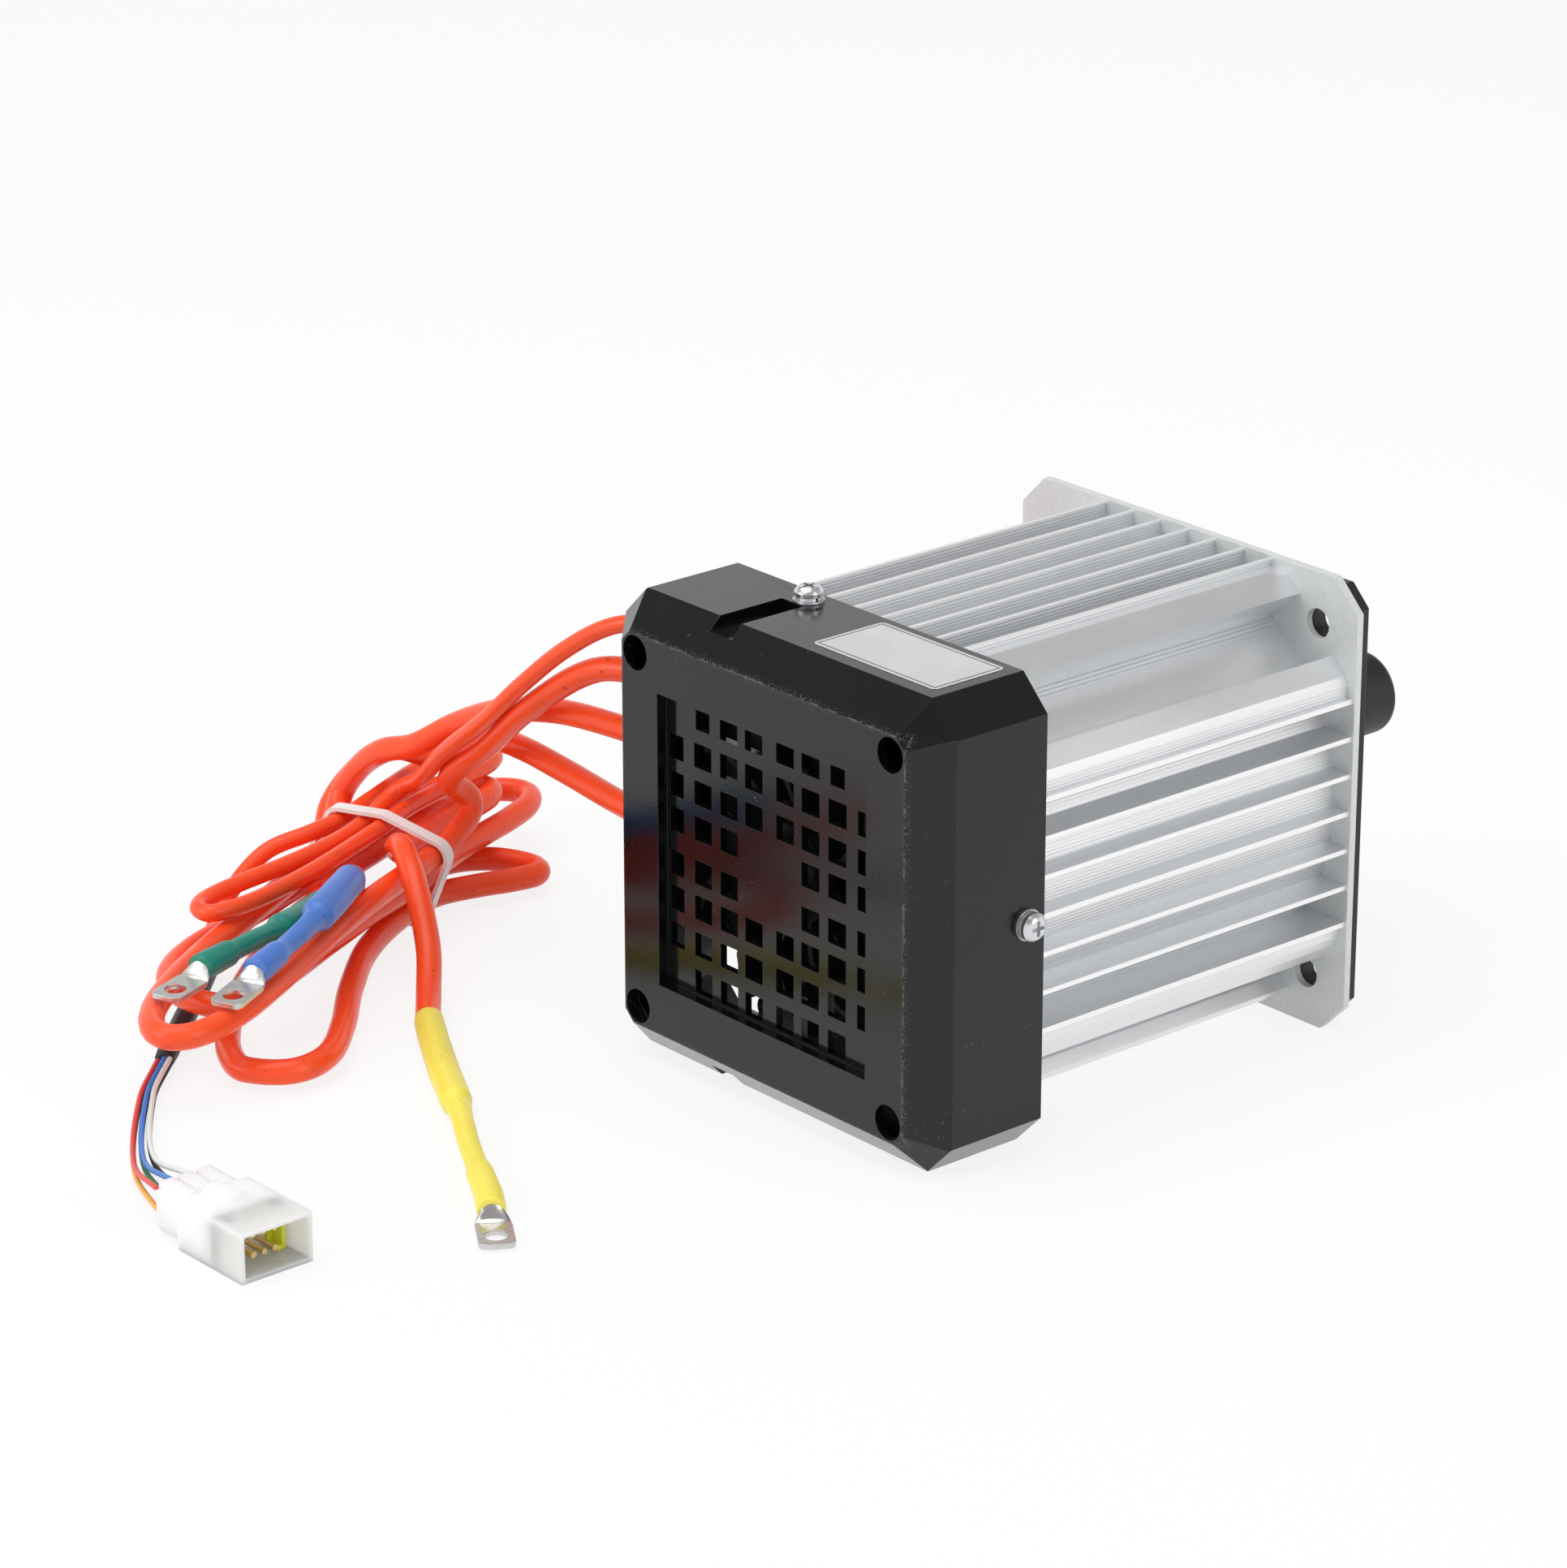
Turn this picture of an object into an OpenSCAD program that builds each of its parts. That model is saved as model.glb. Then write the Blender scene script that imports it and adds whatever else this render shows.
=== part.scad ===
// Fan cooled brushless motor with a square flange, a finned housing and a splined shaft.
// The shaft lies along Y, its drive end points to +Y, and the mounting face is at y = 0.

/* [Flange] */
// Width and height of the square flange
frame_w = 142; // [140:0.5:160]
// Thickness of the flange plate
flange_t = 2.4; // [2:0.1:5]
// Corner cut of the flange plate
flange_cut = 9.6; // [6:0.2:12]
// Distance of a mounting bolt from the flange's edges
bolt_inset = 16; // [15:0.5:18]
// Diameter of the mounting bolt holes
bolt_d = 9; // [6.6:0.1:10]

/* [Front end cover] */
// Step from the flange's edge to the front end cover
end_cover_step = 3.2; // [2:0.1:5]
// Corner cut of the front end cover
end_cover_cut = 6.6; // [4:0.2:8]
// Thickness of the front end cover's plate
end_cover_t = 5.6; // [5:0.2:9]

/* [Housing] */
// Length of the extruded housing
housing_len = 122.6; // [115:0.2:150]
// Step from the flange's edge to the housing's tube
tube_step_in = 7; // [6:0.2:8]
// Wall of the housing's tube
tube_wall = 5; // [4:0.1:7]
// Step from the flange's edge to the fin tips
fin_step = 1; // [1:0.1:2]
// Distance of the outermost fins from the tips of the next side's fins
fin_side = 35.05; // [34.6:0.05:35.8]
// Thickness of a fin at its tip
fin_tip_t = 1.5; // [1.2:0.1:2]
// Thickness of a fin at its root
fin_root_t = 2.4; // [1.8:0.1:3]

/* [Fan cover] */
// Length of the fan cover
cover_len = 44; // [44:0.5:54]
// Wall thickness of the fan cover
cover_wall = 2.5; // [2:0.1:3]
// Bevel round the front of the fan cover
cover_bevel = 10; // [8:0.5:11]
// Corner cut of the fan cover, along each side
cover_cut = 10; // [9:0.5:11]
// Width and height of the grille's recess
recess_w = 90.4; // [90:0.2:94]
// Depth of the grille's recess
recess_d = 3.6; // [2:0.2:4.6]
// Thickness of the grille
grille_t = 2.4; // [1.6:0.2:3]
// Width of a grille hole
cell_w = 7.6; // [5:0.2:8]
// Height of a grille hole
cell_h = 7.3; // [5:0.2:8]
// Diameter of the tool holes in the fan cover's front
tool_hole_d = 10.4; // [8:0.2:11]
// Width of the channels that run back from the bevel
channel_w = 9.6; // [6:0.2:12]
// Depth of the channels
channel_d = 4; // [2:0.5:5]

/* [Shaft] */
// Outer diameter of the splined end
spline_d = 22; // [20:0.1:22]
// Number of spline teeth
spline_teeth = 16; // [10:1:20]
// Depth of a spline tooth
spline_depth = 1.5; // [0.8:0.1:1.8]
// Length of the splined end, from the mounting face
spline_len = 66; // [40:1:68]
// Diameter of the rotor's seat on the shaft
shaft_d = 30; // [28:0.5:32]
// Length of the protective cap past the shaft's end
cap_over = 7; // [5:0.5:20]
// Wall of the protective cap
cap_wall = 2; // [1.5:0.1:3]

/* [Stator and rotor] */
// Bore of the stator as a share of the housing tube's diameter
stator_bore_share = 0.5625; // [0.55:0.0025:0.575]
// Number of stator slots
slots = 24; // [12:6:36]
// Air gap between magnets and stator
air_gap = 0.6; // [0.4:0.1:1]
// Thickness of the magnets
magnet_t = 3.8; // [3:0.2:5]
// Number of magnets
magnets = 8; // [4:2:12]

/* [Fan] */
// Diameter of the cooling fan
fan_d = 100; // [80:1:104]
// Width of the fan, along the shaft
fan_w = 12; // [8:0.5:12.5]
// Number of fan blades
fan_blades = 11; // [6:1:15]
// Thickness of a fan blade
blade_t = 2; // [1.5:0.1:3]

/* [Leads] */
// Diameter of a phase lead
phase_d = 7.7; // [7:0.1:8]
// Diameter of the sensor lead
sensor_d = 5.4; // [4.6:0.1:5.6]

/* [Hidden] */
$fn = 64;
cut = 1;
fit = 0.05;
touch = 0.3;

// Places along the shaft
cover_face_y = -end_cover_t;
flange_y = cover_face_y - flange_t;
housing_rear_y = flange_y - housing_len;
fan_cover_y = housing_rear_y - cover_len;
floor_z = -frame_w / 2;
bolt_pitch = frame_w - 2 * bolt_inset;
end_cover_w = frame_w - 2 * end_cover_step;
fin_span = frame_w - 2 * fin_step;
last_fin = 3;
fin_pitch = (fin_span / 2 - fin_side) / last_fin;
tube_od = frame_w - 2 * tube_step_in;
tube_id = tube_od - 2 * tube_wall;
bore_r = tube_id / 2;
tube_r = tube_od / 2;
stator_id = tube_od * stator_bore_share;
cap_len = spline_len + cap_over;

// Corner blocks of the housing
block_drop = 2.1;
block_shoulder = 4.6;
block_round_x = 2.6;
block_round_z = 1;
nose_x = 12.4;
nose_drop = 7.7;
nose_under_x = 2.6;
nose_under_z = 3.5;
housing_screw_x = 5.8;
housing_screw_drop = 8.6;
screw_d = 5;
screw_core_d = 4.2;
screw_depth = 16;

// Front end cover and its bearing, a 25 by 52 by 15 mm ball bearing
front_bore_d = 25;
front_ring_d = 52;
front_ring_w = 15;
seal_d = 38;
seal_w = 7;
hub_wall = 6;
spigot_len = 8;
spigot_wall = 6;
flange_bore_d = tube_id;
screw_clear = 0.3;
hub_rib_t = 3;
hub_ribs = 6;
hub_rib_len = 6;
countersink_d = 10.4;
countersink_t = 2.7;

// Rear bracket and its bearing, a 17 by 40 by 12 mm ball bearing
rear_bore_d = 17;
rear_ring_d = 40;
rear_ring_w = 12;
bracket_t = 5;
bracket_gap = 0.3;
notch_r = 16;
notch_inset = 9;
lug_len = 11.6;
lug_w = 14;
lug_t = 12;
hub_reach = 11.6;
hub_lip = 1.4;
hub_lip_wall = 3.5;
rear_spigot_wall = 3;
passage_inset = 12;
passage_w = 13;
passage_x = bore_r - passage_inset;
passage_low = 13;
passage_high = 24;
washer_t = 0.6;

// Rolling elements
race_share = 0.3;
ball_share = 0.56;
ball_gap = 0.05;
front_balls = 9;
rear_balls = 8;
cage_t = 1.2;
cage_w_share = 0.5;

// Stator, windings and sensors
tooth_share = 0.46;
yoke_t = 7.5;
slot_mouth = 2.6;
tooth_tip_t = 2;
slot_gap = 0.4;
board_half = 66;
end_turn_len = 13;
end_turn_round = 4;
end_turn_inset = 2.4;
board_t = 1.6;
board_w = 16;
sensor_w = 4.2;
sensor_h = 3.1;
sensor_t = 1.5;
sensor_step = 30;
sensor_count = 3;
stack_gap = 1;
stack_front_room = 26;
stack_rear_room = 21.6;
stack_front_y = flange_y - stack_front_room;
stack_rear_y = housing_rear_y + stack_rear_room;

// Rotor and shaft
rotor_vents = 6;
rotor_vent_d = 8;
magnet_gap = 2.2;
collar_d = 36;
collar_w = 6;
rear_shoulder_d = 22;
front_shoulder_d = 29;
shaft_chamfer = 1;
centre_hole_d = 6.8;
centre_hole_len = 22;
spline_root_share = 1.15;
spline_tip_share = 0.8;
fan_seat_d = 14;
fan_hub_d = 30;
fan_plate_t = 2.4;
fan_inset = 12;
fan_eye_d = 52;
blade_rise = 3;
blade_inset = 0.8;
circlip_t = 1;
circlip_w = 2.6;
circlip_gap_angle = 50;
blade_sweep = 24;
blade_steps = 4;
shaft_end_len = 3;

// Fan cover details
corner_reach = (frame_w - cover_cut) / sqrt(2);
column_shares = [0.15, 0.392, 0.646, 0.904];
narrow_cell = 6;
inner_bevel_share = 0.5;
corner_bevel_share = 0.96;
channel_x = -24;
channel_len = 33;
channel_wall = 2;
cover_screw_inset = 6.6;
cover_screw_x = -22;
cover_screw_d = 4;
pan_d = 8.6;
pan_h = 2.8;
pan_round = 1.6;
spring_washer_d = 7.4;
spring_washer_t = 1.1;
flat_washer_d = 9.4;
flat_washer_t = 0.8;
washer_split = 0.8;
cross_w = 1.1;
cross_d = 1.6;
cross_reach = 4.6;
cover_screw_len = 10;

// Cable outlet in the left side of the fan cover
outlet_inset = 12.4;
outlet_w = 13;
outlet_low = -25;
outlet_high = 57.5;
lip_t = 1.8;
lip_reach = 0.8;
collar_t = 2.4;
collar_wall = 1.8;
lead_z = [-13, 12, 33, 50];
inner_lead_z = [-4, 4.5, 13, 20.5];
// The sensor lead's way to its board, from the housing's rear end
sensor_inner_route = [[-47, -4.4, 20.5], [-46, 0.1, 20.2], [-41.5, 3.4, 19.4], [-35, 4.8, 17],
    [-30, 9.6, 15.5], [-29, 15.6, 15.5]];

// Protective cap and shaft seal
cap_gap = 0.3;
cap_slip = 0.08;
cap_round = 2.6;
cap_end_t = 2.6;
seal_lip = 0.05;
seal_rim = 3;

// Lead routes, hand placed: x, y and z of each point
tube_sides = 10;
tube_step = 3;
blue_route = [[-98, -143, -13], [-130, -140, -12], [-152, -139, -11], [-170, -137, -13],
    [-187, -135, -20]];
green_route = [[-98, -143.5, 12], [-122.5, -145, 10.5], [-141.5, -145, 6.5], [-162, -144.5, -0.5],
    [-180, -145.5, -9.5]];
yellow_route = [[-105, -149, 30], [-131, -154, 12], [-154, -152, -7], [-178, -149, -26]];
sensor_route = [[-97, -149, 46], [-113, -154, 35.5], [-129, -158, 21], [-146.5, -158.5, 5.2],
    [-170, -156.5, -12.5]];

// The tied bundle: its middle, its turn about Z and the loops' common sizes
loop_x = -190;
loop_y = -168;
loop_turn = -64;
loop_rings = 24;
loop_sides = 6;
bulge_scale = 2.5;
loop_gap = 0.6;
// Reach left and right, shift left and right, four bulges, then start, middle and end at the tie
blue_loop = [132, 46, 24, 22, 8, 24, 10, 18, -20, 12, -1];
green_loop = [112, 82, 3, 8, 22, 8, 12, 10, -20, 14, -11];
yellow_loop = [156, 60, 12, 6, 12, 12, 10, 8, 19, -14, 9];
sensor_loop = [84, 72, -14, 2, 9, 4, 8, 8, -5, 1.5, -13];
layer = 8.9;
tie_t = 1.3;
tie_w = 4.6;
tie_gap = 0.8;
tie_clear = 0.2;
tie_head = [5, 6, 7];
lift = tie_t + tie_gap + tie_clear;
gap_skip = 4;
blue_lug_pitch = 4;
green_lug_pitch = 2;
inner_step = 1.2;
bend_share = 0.7;
wire_step = 16;
lock_inset = 1.2;
pin_column_gap = 3.6;

// Points along the bundle, across it and over the floor, on the way in and out
blue_in = [[-34, 3, 43], [-37, -13, 42], [-38, -27, 32], [-32, -34, 19], [-15, -25, 8]];
green_in = [[-18, 4, 52], [-22, -9, 47], [-27, -20, 38], [-27, -27, 27], [-15, -23, 18]];
yellow_in = [[-22, 21.5, 34], [-11, 20.5, 26.4]];
sensor_in = [[-15, 7, 42], [-18, -1, 37], [-9, -4.5, 32.8]];
blue_out = [[9, -1, 8], [20, 1.5, 14.5], [31, 7, 23], [42, 13, 31], [53, 18, 35.5]];
blue_sleeve_route = [[74, 22, 36.5], [98, 24, 35.5], [120, 23, 33.5]];
green_out = [[14, -9.5, 16], [28, -6, 18.5], [42, 1, 22.5], [54, 8, 26]];
green_sleeve_route = [[78, 11.5, 29.5], [102, 10, 32.5], [123, 7, 33]];
yellow_out = [[6, 9.5, 27], [13, 14, 31.5], [21, 20, 33], [32, 29, 28], [46, 40, 15], [62, 48, 7],
    [76, 55, 5]];
yellow_sleeve_route = [[105, 74, 4.7], [129, 91, 4.7], [152, 106, 4.6], [176, 123, 4.4],
    [184, 128, 4.1]];
sensor_out = [[12, -17, 30.5], [24, -27, 26.5], [36, -34, 15], [48, -33, 7], [58, -28, 4.2]];
sensor_sleeve_route = [[84, -19, 3.6], [110, -11, 3.6], [131, -4, 3.6]];

// Sleeves: radius as a share of the lead's, along the sleeve
sleeve_step = 5;
sleeve_shares = [[0, 1.16], [0.44, 1.13], [0.52, 0.84], [0.8, 0.8], [0.87, 1.04], [1, 1.04]];
boot_shares = [[0, 1.22], [1, 1.22]];

// Ring lugs: a barrel, a shoulder and a flat tongue with a round hole
lug_barrel_d = 6.6;
lug_barrel_len = 3;
lug_shoulder_len = 4;
lug_tongue_w = 10.4;
lug_tongue_len = 14;
lug_tongue_t = 1.6;
lug_hole_d = 6.5;
lug_hole_inset = 5.8;
lug_corner = 2;

// Plug of the sensor lead
plug_x = -47;
plug_y = -342;
plug_len = 42;
plug_w = 24;
plug_h = 15;
plug_wall = 1.4;
plug_depth = 15;
plug_neck_len = 12;
plug_neck_drop = 1.6;
plug_latch_w = 8;
plug_latch_len = 11;
plug_latch_h = 2;
plug_post_w = 4.6;
plug_post_gap = 1.2;
pin_d = 1.8;
pin_len = 9;
pin_columns = 3;
pin_rows = 2;
pin_pitch = 6.2;
lock_w = 3;
lock_t = 1.4;
lock_len = 6;
wire_d = 1.6;
wire_sides = 8;
wire_spread = [[2.4, 0.9], [2.4, 0.9], [3.4, 1], [6.2, 3.1], [6.2, 3.1]];
wire_route = [[-136, -287.5, -67.4], [-120, -305, -68.9], [-84, -331, -68.9], [-53, -342, -63.5],
    [-47, -342, -63.5]];

// Simple shapes
// A piece along Y from one place to another, drawn as x and z
module prism(from, to) {
    translate([0, to, 0])
        rotate([90, 0, 0])
            linear_extrude(to - from)
                children();
}

// A piece turned about the shaft's axis, drawn as radius and place along Y
module turned(points) {
    rotate([-90, 0, 0])
        rotate_extrude()
            polygon(points);
}

// A cylinder along Y from one place to another
module rod(from, to, d) {
    prism(from, to)
        circle(d = d);
}

module ring(from, to, inner, outer) {
    turned([[inner / 2, from], [outer / 2, from], [outer / 2, to], [inner / 2, to]]);
}

module cut_square(width, corner) {
    a = width / 2;
    b = a - corner;
    polygon([[-b, -a], [b, -a], [a, -b], [a, b], [b, a], [-b, a], [-a, b], [-a, -b]]);
}

module at_bolts() {
    for (x = [-bolt_pitch / 2, bolt_pitch / 2])
        for (z = [-bolt_pitch / 2, bolt_pitch / 2])
            translate([x, z])
                children();
}

housing_screw = [last_fin * fin_pitch + housing_screw_x, fin_span / 2 - housing_screw_drop];

module at_housing_screws() {
    for (sx = [0, 1])
        for (sz = [0, 1])
            mirror([sx, 0])
                mirror([0, sz])
                    translate(housing_screw)
                        children();
}

// Housing: a tube with tapered fins and a hooked block at the ends of each side
seat_r = (bore_r + tube_r) / 2;
block_angle = 56;

module fin(x) {
    z = sqrt(seat_r * seat_r - x * x);
    polygon([[x - fin_root_t / 2, z], [x + fin_root_t / 2, z],
        [x + fin_tip_t / 2, fin_span / 2], [x - fin_tip_t / 2, fin_span / 2]]);
}

module corner_block() {
    x = last_fin * fin_pitch;
    top = fin_span / 2 - block_drop;
    nose = [x + nose_x, fin_span / 2 - nose_drop];
    polygon([[x - fin_root_t / 2, sqrt(seat_r * seat_r - x * x)],
        [x - fin_tip_t / 2, fin_span / 2], [x + fin_tip_t / 2, fin_span / 2],
        [x + fin_tip_t / 2, top], [x + block_shoulder, top],
        [x + block_shoulder + block_round_x, top - block_round_z], nose, nose - [nose_under_x, nose_under_z],
        [seat_r * cos(block_angle), seat_r * sin(block_angle)]]);
}

module housing_profile() {
    for (i = [1 - last_fin:last_fin - 1])
        fin(i * fin_pitch);
}

module housing_body() {
    ring(housing_rear_y, flange_y, tube_id, tube_od);
    for (quarter = [0:3])
        rotate([0, quarter * 90, 0]) {
            prism(housing_rear_y, flange_y)
                housing_profile();
            for (side = [0, 1])
                mirror([side, 0, 0])
                    prism(housing_rear_y, flange_y)
                        corner_block();
        }
}

module housing() {
    color("#d6d8da")
        difference() {
            housing_body();
            prism(flange_y - screw_depth, flange_y + cut)
                at_housing_screws()
                    circle(d = screw_core_d);
            prism(housing_rear_y - cut, housing_rear_y + screw_depth)
                at_housing_screws()
                    circle(d = screw_core_d);
        }
}

module mounting_flange() {
    color("#c9cbcd")
        prism(flange_y, cover_face_y)
            difference() {
                cut_square(frame_w, flange_cut);
                circle(d = flange_bore_d);
                at_bolts()
                    circle(d = bolt_d);
                at_housing_screws()
                    circle(d = screw_d + 2 * screw_clear);
            }
}

module front_end_cover() {
    hub_d = front_ring_d + 2 * hub_wall;
    hub_y = -seal_w - front_ring_w;
    spigot_y = flange_y - spigot_len;
    color("#1b1c1e")
        difference() {
            union() {
                prism(cover_face_y, 0)
                    cut_square(end_cover_w, end_cover_cut);
                rod(hub_y, cover_face_y, hub_d);
                ring(spigot_y, cover_face_y, tube_id - 2 * spigot_wall, tube_id - 2 * fit);
                prism(cover_face_y - hub_rib_len, cover_face_y)
                    for (i = [1:hub_ribs])
                        rotate(i * 360 / hub_ribs)
                            translate([0, -hub_rib_t / 2])
                                square([bore_r - spigot_wall + touch, hub_rib_t]);
            }
            rod(hub_y - cut, -seal_w, front_ring_d + 2 * fit);
            rod(-seal_w - cut, cut, seal_d + 2 * fit);
            prism(cover_face_y - cut, cut)
                at_bolts()
                    circle(d = bolt_d);
            prism(cover_face_y - cut, cut)
                at_housing_screws()
                    circle(d = screw_d + 2 * screw_clear);
            prism(-countersink_t, cut)
                at_housing_screws()
                    circle(d = countersink_d);
        }
}

// Screws: a pan head, a shank and a cross recess, with the head's seat at zero
module pan_screw(shank_d, shank_len, head_d, head_h) {
    difference() {
        rotate_extrude()
            polygon([[0, -shank_len], [shank_d / 2, -shank_len], [shank_d / 2, 0], [head_d / 2, 0],
                [head_d / 2, head_h - pan_round], [head_d / 2 - pan_round / 2, head_h - pan_round / 3],
                [head_d / 2 - pan_round, head_h], [0, head_h]]);
        for (turn = [0, 90])
            rotate(turn)
                translate([-cross_reach / 2, -cross_w / 2, head_h - cross_d])
                    cube([cross_reach, cross_w, cross_d + cut]);
    }
}

module end_cover_screws() {
    color("#b9bcc0")
        translate([0, -countersink_t, 0])
            rotate([-90, 0, 0])
                at_housing_screws()
                    pan_screw(screw_core_d - 2 * fit, screw_depth - flange_y - countersink_t - cut,
                        countersink_d - 2 * screw_clear, countersink_t);
}

// Ball bearings, from their rear face
function race_d(bore, outer, share) = bore + (outer - bore) * share;

module race(from, width, inner, outer, bore, ring_outer) {
    middle = (bore + ring_outer) / 4;
    ball_r = (ring_outer - bore) / 4 * ball_share + ball_gap;
    color("#c4c8cc")
        difference() {
            ring(from, from + width, inner, outer);
            translate([0, from + width / 2, 0])
                rotate([-90, 0, 0])
                    rotate_extrude()
                        translate([middle, 0])
                            circle(ball_r);
        }
}

module ball_row(from, width, bore, ring_outer, count) {
    middle = (bore + ring_outer) / 4;
    ball_r = (ring_outer - bore) / 4 * ball_share;
    color("#b0894a") {
        translate([0, from + width / 2, 0])
            rotate([-90, 0, 0])
                for (i = [1:count])
                    rotate(i * 360 / count)
                        translate([middle, 0, 0])
                            sphere(ball_r, $fn = 32);
        ring(from + width * (1 - cage_w_share) / 2, from + width * (1 + cage_w_share) / 2,
            2 * middle - cage_t, 2 * middle + cage_t);
    }
}

front_bearing_y = -seal_w - front_ring_w;
rear_hub_y = housing_rear_y - hub_reach;
rear_bearing_y = rear_hub_y + hub_lip + washer_t;

module front_bearing_outer_ring() {
    race(front_bearing_y, front_ring_w, race_d(front_bore_d, front_ring_d, 1 - race_share),
        front_ring_d, front_bore_d, front_ring_d);
}

module front_bearing_inner_ring() {
    race(front_bearing_y, front_ring_w, front_bore_d,
        race_d(front_bore_d, front_ring_d, race_share), front_bore_d, front_ring_d);
}

module front_bearing_balls() {
    ball_row(front_bearing_y, front_ring_w, front_bore_d, front_ring_d, front_balls);
}

module rear_bearing_outer_ring() {
    race(rear_bearing_y, rear_ring_w, race_d(rear_bore_d, rear_ring_d, 1 - race_share),
        rear_ring_d, rear_bore_d, rear_ring_d);
}

module rear_bearing_inner_ring() {
    race(rear_bearing_y, rear_ring_w, rear_bore_d,
        race_d(rear_bore_d, rear_ring_d, race_share), rear_bore_d, rear_ring_d);
}

module rear_bearing_balls() {
    ball_row(rear_bearing_y, rear_ring_w, rear_bore_d, rear_ring_d, rear_balls);
}

module shaft_seal() {
    inner = front_bore_d / 2 + seal_lip;
    color("#26282a")
        turned([[inner, -seal_w], [seal_d / 2, -seal_w], [seal_d / 2, 0], [inner + seal_rim, 0],
            [inner + seal_rim, -seal_rim], [inner, -seal_rim]]);
}

// Rear bracket: a plate with round notches at its corners, a bearing hub and screw lugs
bracket_w = frame_w - 2 * (cover_wall + bracket_gap);
bracket_y = housing_rear_y - bracket_t;
cover_screw_y = housing_rear_y - cover_screw_inset;

module at_lugs() {
    rotate([0, 90, 0])
        children();
    translate([cover_screw_x, 0, 0])
        children();
}

module screw_lug() {
    translate([-lug_w / 2, -lug_len, bracket_w / 2 - lug_t])
        cube([lug_w, lug_len, lug_t]);
}

module passage_outline() {
    r = passage_w / 2;
    translate([-passage_x, passage_high - r])
        circle(r);
    translate([-passage_x, r - passage_low])
        circle(r);
    translate([-passage_x - r, r - passage_low])
        square([passage_w, passage_high + passage_low - passage_w]);
}

module rear_bracket() {
    hub_d = rear_ring_d + 2 * hub_lip_wall;
    color("#c2c5c8")
        difference() {
            union() {
                prism(bracket_y, housing_rear_y)
                    difference() {
                        square(bracket_w, center = true);
                        for (x = [-1, 1])
                            for (z = [-1, 1])
                                translate([x, z] * (frame_w / 2 - notch_inset))
                                    circle(notch_r);
                        passage_outline();
                        at_housing_screws()
                            circle(d = screw_d + 2 * screw_clear);
                    }
                rod(rear_hub_y, rear_bearing_y + rear_ring_w, hub_d);
                ring(housing_rear_y - touch, housing_rear_y + bracket_t, tube_id - 2 * rear_spigot_wall,
                    tube_id - 2 * fit);
                translate([0, housing_rear_y, 0])
                    at_lugs()
                        screw_lug();
            }
            rod(rear_hub_y + hub_lip, rear_shoulder_y + cut, rear_ring_d + 2 * fit);
            rod(rear_hub_y - cut, rear_hub_y + hub_lip + cut, rear_ring_d - 2 * hub_lip_wall);
            channel(channel_wall + bracket_gap);
            mirror([0, 0, 1])
                channel(channel_wall + bracket_gap);
            translate([0, cover_screw_y, 0])
                at_lugs()
                    translate([0, 0, bracket_w / 2 - cover_screw_len])
                        cylinder(d = cover_screw_d, h = cover_screw_len + cut);
        }
}

module rear_bracket_screws() {
    color("#b9bcc0")
        translate([0, bracket_y, 0])
            rotate([90, 0, 0])
                at_housing_screws()
                    pan_screw(screw_core_d - 2 * fit, bracket_t + screw_depth - cut, pan_d, pan_h);
}

module wave_washer() {
    color("#8f9397")
        ring(rear_hub_y + hub_lip, rear_bearing_y, rear_ring_d - 2 * hub_lip_wall,
            rear_ring_d - 2 * fit);
}

// Stator: a slotted stack, its windings and the sensor board
function slot_half(r) = PI * r / slots * (1 - tooth_share);
slot_inner = stator_id / 2 + tooth_tip_t;
slot_outer = bore_r - yoke_t;

module slot_outline(gap) {
    a = slot_inner + gap;
    b = slot_outer - gap;
    polygon([[a, -slot_half(slot_inner) + gap], [b, -slot_half(slot_outer) + gap],
        [b, slot_half(slot_outer) - gap], [a, slot_half(slot_inner) - gap]]);
}

module at_slots() {
    for (i = [1:slots])
        rotate(i * 360 / slots)
            children();
}

module stator_core() {
    color("#5d6064")
        prism(stack_rear_y, stack_front_y)
            difference() {
                circle(bore_r - fit);
                circle(d = stator_id);
                at_slots() {
                    slot_outline(0);
                    translate([stator_id / 2 - cut, -slot_mouth / 2])
                        square([tooth_tip_t + 2 * cut, slot_mouth]);
                }
            }
}

module end_turn() {
    inner = slot_inner + end_turn_inset;
    outer = slot_outer - slot_gap;
    turned([[inner, -touch], [outer, -touch], [outer, end_turn_len - end_turn_round],
        [outer - end_turn_round / 3, end_turn_len - end_turn_round / 3],
        [outer - end_turn_round, end_turn_len], [inner + end_turn_round / 2, end_turn_len],
        [inner, end_turn_len - end_turn_round]]);
}

module stator_windings() {
    color("#b5622c") {
        prism(stack_rear_y - touch, stack_front_y + touch)
            at_slots()
                slot_outline(slot_gap);
        translate([0, stack_front_y + touch, 0])
            end_turn();
        translate([0, stack_rear_y - touch, 0])
            mirror([0, 1, 0])
                end_turn();
    }
}

board_outer = slot_inner;

module board_sector() {
    intersection() {
        difference() {
            circle(board_outer);
            circle(board_outer - board_w);
        }
        polygon([[0, 0], 2 * board_outer * [-sin(board_half), cos(board_half)],
            2 * board_outer * [sin(board_half), cos(board_half)]]);
    }
}

module sensor_board() {
    color("#2f7a4a")
        prism(stack_rear_y - board_t, stack_rear_y)
            board_sector();
}

module hall_sensors() {
    color("#1c1c1c")
        for (i = [0:sensor_count - 1])
            rotate([0, (i - (sensor_count - 1) / 2) * sensor_step, 0])
                translate([-sensor_w / 2, stack_rear_y - board_t - sensor_t,
                    board_outer - board_w / 2])
                    cube([sensor_w, sensor_t, sensor_h]);
}

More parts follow.
